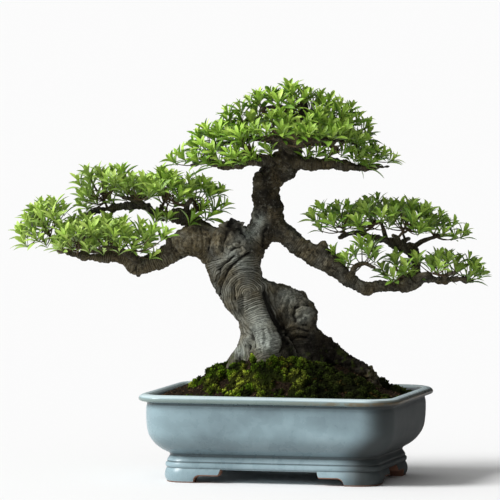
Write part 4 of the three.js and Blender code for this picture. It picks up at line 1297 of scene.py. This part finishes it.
def points_mesh(places, axes, chance):
    """Points with a direction, a turn, a size and a vigour each."""
    mesh = bpy.data.meshes.new("shoots")
    mesh.from_pydata(to_row(places).tolist(), [], [])
    turned = to_row(axes) - to_row(np.zeros((1, 3)))
    axis = mesh.attributes.new("axis", "FLOAT_VECTOR", "POINT")
    axis.data.foreach_set("vector", unit(turned).astype(np.float32).ravel())
    for name, low, high in [("turn", 0, 2 * math.pi), ("size", 0.82, 1.15), ("vigour", 0, 1)]:
        attribute = mesh.attributes.new(name, "FLOAT", "POINT")
        attribute.data.foreach_set("value", chance.uniform(low, high, len(places)).astype(np.float32))
    return mesh


def leaf_finish():
    finish = Finish("young_leaf", Roughness=0.42, Specular_IOR_Level=0.4)
    tint, age = finish.value_of("tint"), finish.value_of("age")
    blade = finish.node("ShaderNodeUVMap", {"uv_map": "blade"})["UV"]
    on_blade = finish.parts(blade)
    from_midrib = abs(on_blade["X"] - 0.5) * 2
    across = finish.parts()["X"]
    young = finish.blend(tone(160, 204, 66), tone(206, 232, 108), tint)
    old = finish.blend(tone(92, 138, 38), tone(150, 188, 64), tint)
    colour = finish.layered(
        finish.blend(young, old, age.step(0.1, 0.95)),
        (tone(74, 110, 34), finish.value_of("vigour").step(0.6, 0.0) * 0.4),
        # Darker towards the right and lighter towards the left: painted shade and painted light
        (tone(60, 84, 34), across.step(0.0, 0.2) * 0.35),
        (tone(206, 224, 136), across.step(-0.06, -0.24) * 0.3),
        (tone(70, 96, 30), finish.grain(160).step(0.5, 0.75) * 0.35),
        (tone(178, 196, 112), from_midrib.step(0.16, 0.04) * 0.5),
        (tone(60, 84, 26), on_blade["Y"].step(0.35, 0.0) * 0.45),
    )
    finish.connect("Base Color", colour)
    veins = finish.node("ShaderNodeTexWave", {"bands_direction": "Y"}, {
        "Vector": finish.stretched((0.0, 1.0, 0.0), blade), "Scale": 5.0, "Distortion": 0.6,
    })["Fac"]
    finish.bump(from_midrib.step(0.0, 0.2) + veins * 0.25, 0.0004, 0.6)
    return finish.material


def twig_finish():
    finish = Finish("young_twig", Roughness=0.8, Specular_IOR_Level=0.3)
    speckle = finish.grain(500, 3)
    wood = finish.ramp(speckle, [(0.3, tone(52, 42, 28)), (0.7, tone(92, 76, 52))])
    colour = finish.blend(wood, tone(128, 142, 60), finish.value_of("green").step(0.35, 0.9))
    finish.connect("Base Color", colour)
    finish.bump(speckle, 0.0004, 0.7)
    return finish.material


def make_sprays():
    forms = bpy.data.collections.new("leaf_forms")
    for index, (curl, fold) in enumerate(LEAF_FORMS):
        name = f"leaf_form_{index}"
        forms.objects.link(bpy.data.objects.new(name, leaf_mesh(name, curl, fold)))
    growth = shoot_growth()
    leaf, twig = leaf_finish(), twig_finish()
    taken = []
    for pad_name, pad in PADS.items():
        chance = np.random.default_rng(pad["seed"])
        for index, spray in enumerate(pad["sprays"]):
            name = f"{pad_name}_spray_{index + 1}"
            edge_shoots = edge_shoots_of(pad_name, index)
            places, axes, outward = shoots_of(pad, spray, edge_shoots, taken, chance)
            twigs = twigs_of(pad, np.array(spray, float), outward, places, axes, chance)
            twigs.materials.append(twig)
            points = points_mesh(places, axes, chance)
            leaves = grown(points, growth, Leaves=forms, Material=leaf, Seed=SEED + index)
            piece = joined_mesh(f"{name}_leaves", [leaves, twigs])
            finish_piece(piece, "leaves", name)
    for form in list(forms.objects):
        bpy.data.objects.remove(form)
    bpy.data.collections.remove(forms)


# Soil and moss

GROUND_VOXEL = 2.0
GROUND_SMOOTHING = 4
# Points of a CAD shape that are so near each other, in millimetres, become one
MERGE_REACH = 0.01
SOIL_UNEVENNESS = 1.6
SOIL_TRIANGLES = 40000
# Crumbs lie anyhow and tufts lean a little; their densities are numbers to a square metre
CRUMB_SIZE = 3
CRUMB_DENSITY = 80000.0
CRUMB_LEAN = 3.0
MOSS_GROWTH = 3.6
MOSS_TRIANGLES = 9000
CUSHION_SIZE = 13
BARE_DEPTH = 9
TUFT_SIZE = 2.3
TUFT_DENSITY = 360000.0
TUFT_LEAN = 0.55
TUFT_SIDES = 4
TUFT_RINGS = [(-0.3, 0.5), (0.45, 0.42)]
# Where the ground stands higher or lower than its plain mound, as [u, v, reach in u, reach in v, rise]
GROUND_SHAPES = [
    [74, -20, 44, 34, -13], [-27, -62, 20, 15, 13], [-45, -46, 10, 12, 18], [-62, -46, 14, 14, 6],
    [124, 0, 22, 60, -10], [-110, 0, 22, 60, 9],
]
# How much it rises at the left and drops at the right, and between which x from the pot's middle
LEFT_RISE = 6
LEFT_SLOPE = (-105, -145)
RIGHT_DROP = 5
RIGHT_SLOPE = (115, 145)
# Where moss fades in: x at the left, y at the front and height on top; and how sunken ground loses it
MOSSY_LEFT = (-128, -60)
MOSSY_FRONT = (-118, -86)
MOSSY_TOP = (120, 140)
SUNKEN = (-5, -9)
MOSS_NODES = ["moss_left", "moss_front_left", "moss_front", "moss_right", "moss_back_right", "moss_back"]


def even_copy(node):
    """A CAD node's shape in millimetres, merged and made of even small squares."""
    source = bpy.data.objects[node].data
    shape = Shape()
    shape.add(by_vertex(source, "co") / MM, faces_of(source))
    merged = modified(shape.mesh(f"{node}_copy", unmoved), ["WELD", {"merge_threshold": MERGE_REACH}])
    return remeshed(merged, GROUND_VOXEL, GROUND_SMOOTHING)


def cushions(places, size):
    """Rounded cushions side by side: 1 in the middle of each and 0 where they meet."""
    nearest = [noise.voronoi(Vector(place) / size)[0] for place in places]
    first = np.array([distances[0] for distances in nearest])
    second = np.array([distances[1] for distances in nearest])
    return fade(second - first, 0, 0.55)


def in_metres(points):
    return np.asarray(points) * MM


def small_form(name, points, faces):
    """A form for copies, which isn't in the scene itself."""
    mesh = bpy.data.meshes.new(name)
    mesh.from_pydata(points, [], faces)
    mesh.shade_smooth()
    return bpy.data.objects.new(name, mesh)


def tuft_form():
    """A pointed clump of moss, a unit high."""
    points = []
    for height, radius in TUFT_RINGS:
        for side in range(TUFT_SIDES):
            angle = 2 * math.pi * side / TUFT_SIDES + height
            wide = radius * (1.25 if side % 2 else 0.8)
            points.append((wide * math.cos(angle), wide * math.sin(angle), height))
    tip = len(points)
    points.append((0.08, 0.05, 1))
    faces = []
    for wall in ring_faces(len(TUFT_RINGS), TUFT_SIDES):
        faces += [wall, (wall[3], wall[2], tip)]
    faces.append(tuple(reversed(range(TUFT_SIDES))))
    return small_form("tuft_form", points, faces)


def crumb_form():
    """An angular crumb of soil or bark, a unit across."""
    waist = [(0.5, 0, 0.05), (0.1, 0.42, -0.1), (-0.4, 0.2, 0.1), (-0.35, -0.3, -0.05), (0.2, -0.4, 0.1)]
    top, bottom = (0.05, 0.05, 0.4), (0, 0, -0.35)
    faces = []
    for side in range(len(waist)):
        after = (side + 1) % len(waist)
        faces += [(side, after, len(waist)), (after, side, len(waist) + 1)]
    return small_form("crumb_form", [*waist, top, bottom], faces)


def scatter_growth():
    """Scatters a form over the upper side of a surface, and keeps the surface."""
    nodes = Growth("scattered_forms", [
        ("Surface", "Geometry", None), ("Form", "Object", None), ("Material", "Material", None),
        ("Surface material", "Material", None), ("Density", "Float", TUFT_DENSITY),
        ("Size", "Float", TUFT_SIZE * MM), ("Lean", "Float", TUFT_LEAN), ("Seed", "Int", SEED),
    ])
    given = nodes.given
    normal = nodes.node("GeometryNodeInputNormal")["Normal"]
    up = nodes.node("ShaderNodeSeparateXYZ", None, {"Vector": normal})["Z"]
    density = given["Density"] * nodes.named("cover") * up.step(0.05, 0.35)
    spots = nodes.node("GeometryNodeDistributePointsOnFaces", None, {
        "Mesh": given["Surface"], "Density": density, "Seed": given["Seed"],
    })
    lean = given["Lean"]
    placed = nodes.rotated(
        spots["Rotation"], nodes.chance(-1, 1, 1) * lean, nodes.chance(-1, 1, 2) * lean,
        nodes.chance(0, 2 * math.pi, 3),
    )
    form = nodes.node("GeometryNodeObjectInfo", None, {"Object": given["Form"], "As Instance": True})
    forms = nodes.node("GeometryNodeInstanceOnPoints", None, {
        "Points": spots["Points"], "Instance": form["Geometry"], "Rotation": placed,
        "Scale": given["Size"] * nodes.chance(0.55, 1.3, 4),
    })
    tinted = nodes.marked(forms["Instances"], "tint", nodes.chance(0.05, 1.0, 5))
    ground = nodes.dressed(given["Surface"], given["Surface material"])
    both = nodes.node("GeometryNodeJoinGeometry")
    for part in (ground, nodes.dressed(tinted, given["Material"])):
        nodes.tree.links.new(part.socket, both.node.inputs["Geometry"])
    nodes.end(both["Geometry"])
    return nodes


def moss_finish():
    finish = Finish("cushion_moss", Roughness=0.95, Specular_IOR_Level=0.05)
    tint = finish.value_of("tint")
    patch = finish.grain(30, 3, 0.55)
    # The left of the mound gets the lit copy of the moss and the right the shaded copy: painted light and
    # shade
    lit = finish.parts()["X"].step(0.12, 0.01)
    # Near black: painted shade between the cushions, and random dark tufts
    dark = finish.ramp(patch, [(0.35, tone(12, 13, 4)), (0.65, tone(22, 26, 7))])
    lit_moss = finish.ramp(patch, [
        (0.36, tone(48, 68, 12)), (0.5, tone(108, 142, 28)), (0.6, tone(176, 188, 66)),
    ])
    shaded = finish.ramp(patch, [(0.36, tone(26, 32, 12)), (0.64, tone(60, 72, 26))])
    rise = finish.value_of("rise").step(0.1, 0.75)
    brown = finish.grain(55).step(0.6, 0.7) * 0.5
    colour = finish.layered(
        dark,
        # Cushion tops lighter than where cushions meet: painted light and shade
        (finish.blend(shaded, lit_moss, lit), (tint * 0.8 + 0.2) * (rise * 0.88 + 0.12)),
        (tone(92, 66, 30), brown * tint),
    )
    finish.connect("Base Color", colour)
    finish.bump(finish.grain(1500, 3), 0.0008, 0.8)
    return finish.material


def soil_finish():
    finish = Finish("dark_soil", Roughness=0.95, Specular_IOR_Level=0.08)
    tint = finish.value_of("tint")
    grain = finish.grain(300, 4, 0.65)
    ground = finish.ramp(grain, [(0.35, tone(16, 12, 8)), (0.7, tone(46, 36, 24))])
    crumbs = finish.ramp(tint, [
        (0.0, tone(18, 14, 10)), (0.6, tone(42, 33, 24)), (0.85, tone(66, 47, 32)), (1.0, tone(98, 82, 60)),
    ])
    colour = finish.blend(ground, crumbs, tint.step(0.02, 0.04))
    finish.connect("Base Color", colour)
    finish.bump(finish.grain(900, 3), 0.001, 0.9)
    return finish.material


def make_soil():
    even = even_copy("soil")
    points, normals = by_vertex(even, "co"), by_vertex(even, "normal")
    upward = fade(normals[:, 2], 0.2, 0.7)
    points = points + (upward * (SOIL_UNEVENNESS * lumps(points, 9, 3, 1)))[:, None] * normals
    points[:, 2] += upward * ground_change(points)
    shape = Shape()
    shape.add(points, faces_of(even), cover=upward)
    surface = thinned(shape.mesh("soil_surface", in_metres), SOIL_TRIANGLES)
    crumb = crumb_form()
    finish = soil_finish()
    mesh = grown(
        surface, scatter_growth(), Form=crumb, Material=finish, Surface_material=finish,
        Density=CRUMB_DENSITY, Size=CRUMB_SIZE * MM, Lean=CRUMB_LEAN,
    )
    bpy.data.objects.remove(crumb)
    add_piece("soil_with_crumbs", mesh, "soil", "soil")


def from_pot(places):
    """How far right of the pot's middle and behind it places are, in millimetres."""
    return (places[:, :2] - [POT_CENTRE.x / MM, POT_CENTRE.y / MM]).T


def ground_change(places):
    """How much higher or lower the ground is than its plain mound, at places in row millimetres."""
    x, y = from_pot(places)
    u = x * math.cos(TREE_TURN) + y * math.sin(TREE_TURN)
    v = y * math.cos(TREE_TURN) - x * math.sin(TREE_TURN)
    change = LEFT_RISE * fade(x, *LEFT_SLOPE) - RIGHT_DROP * fade(x, *RIGHT_SLOPE)
    for middle_u, middle_v, reach_u, reach_v, rise in GROUND_SHAPES:
        away = ((u - middle_u) / reach_u) ** 2 + ((v - middle_v) / reach_v) ** 2
        change = change + rise * np.exp(-away)
    return change


def mossy(places):
    """How fully moss covers the mound. It is bare at the left, near the front rim and by the right root."""
    x, y = from_pot(places)
    patchy = 0.68 + 1.1 * lumps(places * [1, 1, 0.5], 26, 3, 11)
    left = fade(x - 0.7 * np.clip(-y - 60, 0, 50), *MOSSY_LEFT)
    front = 0.45 + 0.55 * fade(y, *MOSSY_FRONT)
    top = fade(places[:, 2], *MOSSY_TOP)
    sunken = fade(ground_change(places), *SUNKEN)
    cover = patchy * (0.25 + 0.75 * np.maximum(left * front, 0.75 * top)) * (1 - 0.8 * sunken)
    return fade(cover, 0.22, 0.42)


def make_moss():
    tuft = tuft_form()
    growth = scatter_growth()
    finish = moss_finish()
    for index, node in enumerate(MOSS_NODES):
        even = even_copy(node)
        places, normals = by_vertex(even, "co"), by_vertex(even, "normal")
        rise = cushions(places + 3 * np.column_stack([lumps(places, 12, 2, 21)] * 3), CUSHION_SIZE)
        uneven = lumps(places * [1, 1, 0.3], 17, 2, 5)
        growing = MOSS_GROWTH * (0.3 + rise * (1 + 0.9 * uneven)) + 0.8 * lumps(places, 5, 2, 2)
        covered = mossy(places)
        points = places + (growing * covered)[:, None] * normals
        points[:, 2] += ground_change(places) - BARE_DEPTH * (1 - covered)
        shape = Shape()
        cover = (fade(rise, 0.0, 0.5) * 0.8 + 0.2) * fade(covered, 0.5, 0.9)
        shape.add(points, faces_of(even), cover=cover, rise=rise * covered)
        surface = thinned(shape.mesh(f"{node}_surface", in_metres), MOSS_TRIANGLES)
        mesh = grown(
            surface, growth, Form=tuft, Material=finish, Surface_material=finish,
            Density=TUFT_DENSITY, Size=TUFT_SIZE * MM, Lean=TUFT_LEAN, Seed=SEED + index,
        )
        add_piece(f"{node}_cushions", mesh, "moss", node)
    bpy.data.objects.remove(tuft)


# Tray

PROFILE_STEP = 1.6
TRAY_EDGE = math.radians(50)
# Cross-sections along a foot's low block, the curve up to its step, the step, the heel and the corner
BLOCK_SECTIONS = 7
CURVE_SECTIONS = 9
STEP_SECTIONS = 4
HEEL_SECTIONS = 7
CORNER_SECTIONS = 13
# Points up a foot's wall and round its bottom edge
WALL_POINTS = 9
EDGE_POINTS = 5
# Dark lines at creases, partly glaze pooled in them and partly painted shade under the lip and in the
# grooves, as their height in metres, how far from it they are gone and how far from it they are full, and how
# dark they are
POOLED_AND_SHADED_CREASES = [
    [0.1075, 0.0034, 0.001, 0.85], [0.037, 0.0034, 0.001, 0.8], [0.0278, 0.0014, 0.0004, 0.7],
    [0.0196, 0.0012, 0.0003, 0.5],
]


def outline(inset):
    """Rounded rectangle inside the rim's outline, anticlockwise, as x and y."""
    radius = RIM_CORNER - CORNER_TIGHTENING * inset
    x = POT_LENGTH / 2 - inset - radius
    y = POT_WIDTH / 2 - inset - radius
    centres = [(x, y), (-x, y), (-x, -y), (x, -y)]
    ring = []
    for corner, (cx, cy) in enumerate(centres):
        turns = (corner + np.linspace(0, 1, CORNER_STEPS + 1)) * math.pi / 2
        ring.append(np.column_stack([cx + radius * np.cos(turns), cy + radius * np.sin(turns)]))
        steps = LONG_STEPS if corner % 2 == 0 else SHORT_STEPS
        next_x, next_y = centres[(corner + 1) % 4]
        next_turn = (corner + 1) * math.pi / 2
        end = np.array([next_x + radius * math.cos(next_turn), next_y + radius * math.sin(next_turn)])
        start = ring[-1][-1]
        ring.append(start + (end - start) * np.linspace(0, 1, steps + 1)[1:-1, None])
    return np.vstack(ring)


def profile_line(section):
    """A section's smooth line, as heights and insets."""
    route = np.array([[inset, 0, height, 0] for height, inset in section], float)
    line = curve_through(route, PROFILE_STEP)
    return line[:, [2, 0]]


def tray_body():
    """The tray above its feet, with its drain holes."""
    lines = [profile_line(POT_OUTSIDE), profile_line(POT_INSIDE)]
    section = np.vstack(lines)
    rings = []
    for height, inset in section:
        ring = outline(inset)
        rings.append(np.column_stack([ring, np.full(len(ring), height)]))
    count = len(rings[0])
    inner = np.repeat(np.arange(len(section)) >= len(lines[0]), count).astype(float)
    shape = Shape()
    shape.add(np.vstack(rings), closed_faces(len(rings), count), inside=inner)
    body = shape.mesh("tray_body", unmoved)
    for side in (-1, 1):
        drill = Shape()
        shaft = [[side * DRAIN_OFFSET, 0, height, DRAIN_RADIUS] for height in (0, DRILL_HEIGHT)]
        drill.add(*tube(np.array(shaft), DRAIN_SIDES))
        cutter = add_object("drill", drill.mesh("drill", unmoved))
        body = modified(body, ["BOOLEAN", {"object": cutter, "solver": "EXACT"}])
        bpy.data.objects.remove(cutter)
    return body


def under_edge(beyond):
    """Height of a foot's lower edge at a distance past the foot's outermost point."""
    step = FOOT_STEP_HEIGHT
    if beyond <= FOOT_BLOCK:
        return 0
    if beyond <= FOOT_BLOCK + step:
        share = (beyond - FOOT_BLOCK) / step
        return step * (1 - (1 - share) ** 2) ** 0.5
    if beyond <= FOOT_SPAN:
        return step
    share = min(1, (beyond - FOOT_SPAN) / FOOT_HEEL)
    return step + (FOOT_HEIGHT - step) * share ** 2


def foot_stations():
    """Distances from the outer point of a foot to each of its cross-sections along one side."""
    block = np.linspace(FOOT_START, FOOT_BLOCK, BLOCK_SECTIONS)[:-1]
    curved = np.linspace(FOOT_BLOCK, FOOT_BLOCK + FOOT_STEP_HEIGHT, CURVE_SECTIONS)
    step = np.linspace(FOOT_STEP_START, FOOT_SPAN, STEP_SECTIONS)[:-1]
    heel = np.linspace(FOOT_SPAN, FOOT_SPAN + FOOT_HEEL, HEEL_SECTIONS)
    return np.concatenate([block, curved, step, heel])


def foot_section(lower):
    """Heights and insets round a foot's section whose lower edge is at a height, with soft bottom edges."""
    outside = profile_line(FOOT_OUTSIDE)
    heights = np.linspace(lower + FOOT_EDGE, FOOT_OUTSIDE[-1][0], WALL_POINTS)
    heights = np.maximum(heights, lower + 0.01)
    insets = np.interp(heights, outside[:, 0], outside[:, 1])
    wall = np.column_stack([heights, insets])
    turn = np.linspace(0, math.pi / 2, EDGE_POINTS)[:-1]
    rounding = np.column_stack([
        lower + FOOT_EDGE * (1 - np.sin(turn)), insets[0] + FOOT_EDGE * (1 - np.cos(turn)),
    ])[::-1]
    inner = FOOT_OUTSIDE[0][1] + FOOT_THICKNESS
    inside = np.array([[FOOT_OUTSIDE[-1][0], inner], [lower + 1, inner], [lower, inner - 1]])
    return np.vstack([rounding, wall, inside])


def foot(shape, side_x, side_y):
    """One foot round a corner of the tray, stepped along both sides."""
    beyond = foot_stations()
    stations = [("x", value) for value in beyond[::-1]]
    stations += [("corner", value) for value in np.linspace(0, 1, CORNER_SECTIONS)[1:-1]]
    stations += [("y", value) for value in beyond]
    rings = []
    for kind, value in stations:
        section = foot_section(under_edge(value) if kind != "corner" else 0)
        rings.append([station_point(kind, value, inset, height) for height, inset in section])
    count = len(rings[0])
    clay = np.tile([1.0] * 3 + [0.0] * (count - 5) + [1.0] * 2, len(rings))
    points = np.array(rings).reshape(-1, 3) * [side_x, side_y, 1]
    faces = closed_faces(len(rings), count)
    if side_x * side_y > 0:
        faces = [tuple(reversed(face)) for face in faces]
    shape.add(points, faces, clay=clay, inside=0.0)


def station_point(kind, value, inset, height):
    """A point of a foot at the corner where x and y are positive."""
    widest = min(inset for _, inset in FOOT_OUTSIDE)
    radius = RIM_CORNER - CORNER_TIGHTENING * inset
    x, y = POT_LENGTH / 2 - inset, POT_WIDTH / 2 - inset
    if kind == "x":
        return [min(POT_LENGTH / 2 - widest - value, x - radius), y, height]
    if kind == "y":
        return [x, min(POT_WIDTH / 2 - widest - value, y - radius), height]
    turn = (1 - value) * math.pi / 2
    return [x - radius + radius * math.cos(turn), y - radius + radius * math.sin(turn), height]


def glaze_finish():
    finish = Finish("celadon_glaze", Specular_IOR_Level=0.4)
    parts = finish.parts()
    x, height = parts["X"], parts["Z"]
    cloud = finish.grain(7, 2, 0.5, place=finish.stretched((1.0, 1.0, 2.2)))
    mottle = finish.grain(45, 3, 0.6)
    speck = finish.grain(520, 2, 0.6)
    clay = finish.value_of("clay")
    low = height.step(0.07, 0.045) * height.step(0.032, 0.04)
    creased = sum(abs(height - at).step(faded, full) * dark for at, faded, full, dark in POOLED_AND_SHADED_CREASES)
    above_neck = height.step(0.1095, 0.11)
    lip_face = above_neck * height.step(0.116, 0.114)
    worn = x.step(0.17, 0.2) * above_neck * height.step(0.1185, 0.117)
    thin = x.step(0.03, 0.17) * lip_face * mottle.step(0.38, 0.54)
    inside = finish.value_of("inside") * height.step(0.1185, 0.1115)
    # The right end, and its base lower down, is darker and greyer: partly a duller glaze and partly painted
    # shade
    base_end = height.step(0.075, 0.036) * 0.034
    dull = (x + base_end).step(0.157, 0.2) * height.step(0.1165, 0.1095)
    glaze = finish.ramp(cloud * 0.75 + mottle * 0.25, [
        (0.36, tone(108, 127, 134)), (0.5, tone(128, 150, 157)), (0.64, tone(151, 173, 180)),
    ])
    colour = finish.layered(
        glaze,
        # Lighter towards the left end: painted light
        (tone(160, 186, 194), x.step(-0.02, -0.15) * 0.42),
        (tone(88, 102, 108), low * 0.6),
        (tone(96, 112, 118), speck.step(0.62, 0.75) * 0.25),
        # Dark lines at the creases: pooled glaze and painted shade
        (tone(40, 54, 58), creased),
        (tone(118, 132, 124), lip_face * 0.75),
        # Near white along the rim's top: painted highlight
        (tone(206, 222, 224), height.step(0.115, 0.117) * 0.7),
        (tone(66, 64, 54), worn * 0.85),
        (tone(104, 88, 58), thin * 0.8),
        (tone(58, 74, 96), inside * 0.8),
        # Painted shade, with a duller glaze, at the right end
        (tone(37, 40, 39), dull * 0.94),
        (tone(128, 92, 74), clay.step(0.3, 0.8)),
    )
    finish.connect("Base Color", colour)
    finish.connect("Roughness", clay * 0.5 + mottle * 0.16 + dull * 0.4 + 0.2)
    finish.bump(mottle * 0.5 + speck * 0.1, 0.0004, 0.2)
    return finish.material


def values_of(mesh, name):
    values = np.empty(len(mesh.vertices))
    mesh.attributes[name].data.foreach_get("value", values)
    return values


def make_pot():
    body = tray_body()
    shape = Shape()
    shape.add(by_vertex(body, "co"), faces_of(body), clay=0.0, inside=values_of(body, "inside"))
    for side_x in (-1, 1):
        for side_y in (-1, 1):
            foot(shape, side_x, side_y)
    mesh = shape.mesh("glazed_tray", tray_to_row)
    mesh.set_sharp_from_angle(angle=TRAY_EDGE)
    mesh.materials.append(glaze_finish())
    add_piece("glazed_tray", mesh, "glazed_pot", "pot")


# Drainage layer, screens and clips, whose CAD shapes stay


def grit_finish():
    finish = Finish("drainage_grit", Roughness=0.95)
    cells = finish.node("ShaderNodeTexVoronoi", None, {"Vector": finish.place, "Scale": 260.0})
    shade = finish.ramp(cells["Color"], [(0.2, tone(104, 88, 70)), (0.8, tone(176, 156, 128))])
    gaps = cells["Distance"].step(0.65, 0.3)
    finish.connect("Base Color", finish.blend(tone(50, 42, 34), shade, gaps))
    finish.bump(gaps, 0.002, 0.8)
    return finish.material


def screen_finish():
    finish = Finish("screen_mesh", Roughness=0.6)
    scuff = finish.grain(300, 3)
    finish.connect("Base Color", finish.ramp(scuff, [(0.3, tone(24, 26, 24)), (0.7, tone(48, 50, 46))]))
    finish.bump(scuff, 0.0003, 0.5)
    return finish.material


def wire_finish():
    finish = Finish("clip_wire", Metallic=0.9)
    dull = finish.grain(700, 3)
    finish.connect("Base Color", finish.ramp(dull, [(0.3, tone(150, 122, 92)), (0.7, tone(196, 170, 138))]))
    finish.connect("Roughness", dull * 0.3 + 0.3)
    return finish.material


def finish_drainage():
    screen, wire = screen_finish(), wire_finish()
    finishes = {"grit": grit_finish()}
    for side in ("left", "right"):
        finishes[f"drain_screen_{side}"] = screen
        finishes[f"screen_clip_{side}"] = wire
    for name, material in finishes.items():
        bpy.data.objects[name].material_slots[0].material = material


# Studio

FLOOR_SIZE = 700
KEY_FROM = (-0.8, -0.6, 0.85)
KEY_STRENGTH = 3.3
KEY_SOFTNESS = math.radians(24)
SKY_FROM = (-0.75, -0.45, 0.5)
SKY_DARK = 0.04
SKY_BRIGHT = 0.7


def make_floor():
    half = FLOOR_SIZE / 2
    mesh = bpy.data.meshes.new("floor")
    corners = [(-half, -half, 0), (half, -half, 0), (half, half, 0), (-half, half, 0)]
    mesh.from_pydata(corners, [], [(0, 1, 2, 3)])
    floor = add_object("floor", mesh)
    finish = Finish("pale_floor", Base_Color=(0.86, 0.86, 0.86, 1), Roughness=0.95, Specular_IOR_Level=0)
    floor.data.materials.append(finish.material)


def make_key():
    data = bpy.data.lights.new("key_light", "SUN")
    data.energy = KEY_STRENGTH
    data.angle = KEY_SOFTNESS
    lamp = add_object("key_light", data)
    lamp.rotation_euler = Vector(KEY_FROM).to_track_quat("Z", "Y").to_euler()


def make_sky():
    """A soft sky, brightest on the key's side."""
    world = bpy.data.worlds.new("soft_sky")
    world.use_nodes = True
    bpy.context.scene.world = world
    nodes = Nodes(world.node_tree)
    direction = nodes.node("ShaderNodeTexCoord")["Generated"]
    sockets = {0: direction, 1: Vector(SKY_FROM).normalized()}
    facing = nodes.node("ShaderNodeVectorMath", {"operation": "DOT_PRODUCT"}, sockets)["Value"]
    strength = facing.step(-0.35, 0.75) * (SKY_BRIGHT - SKY_DARK) + SKY_DARK
    background = world.node_tree.nodes["Background"]
    background.inputs["Color"].default_value = (1, 1, 1, 1)
    world.node_tree.links.new(strength.socket, background.inputs["Strength"])


def make_studio():
    make_floor()
    make_key()
    make_sky()
    bpy.context.scene.view_settings.view_transform = "Standard"


def make_camera():
    aim = Vector(to_row([VIEW_AIM])[0])
    flat = math.cos(VIEW_LIFT)
    back = Vector((math.sin(VIEW_TURN) * flat, -math.cos(VIEW_TURN) * flat, math.sin(VIEW_LIFT)))
    data = bpy.data.cameras.new("camera")
    data.lens = VIEW_LENS
    data.sensor_width = VIEW_SENSOR
    data.clip_end = VIEW_REACH
    camera = add_object("camera", data)
    camera.location = aim + VIEW_DISTANCE * back
    camera.rotation_euler = back.to_track_quat("Z", "Y").to_euler()
    bpy.context.scene.camera = camera


make_camera()
make_wood()
make_sprays()
make_soil()
make_moss()
make_pot()
finish_drainage()
make_studio()
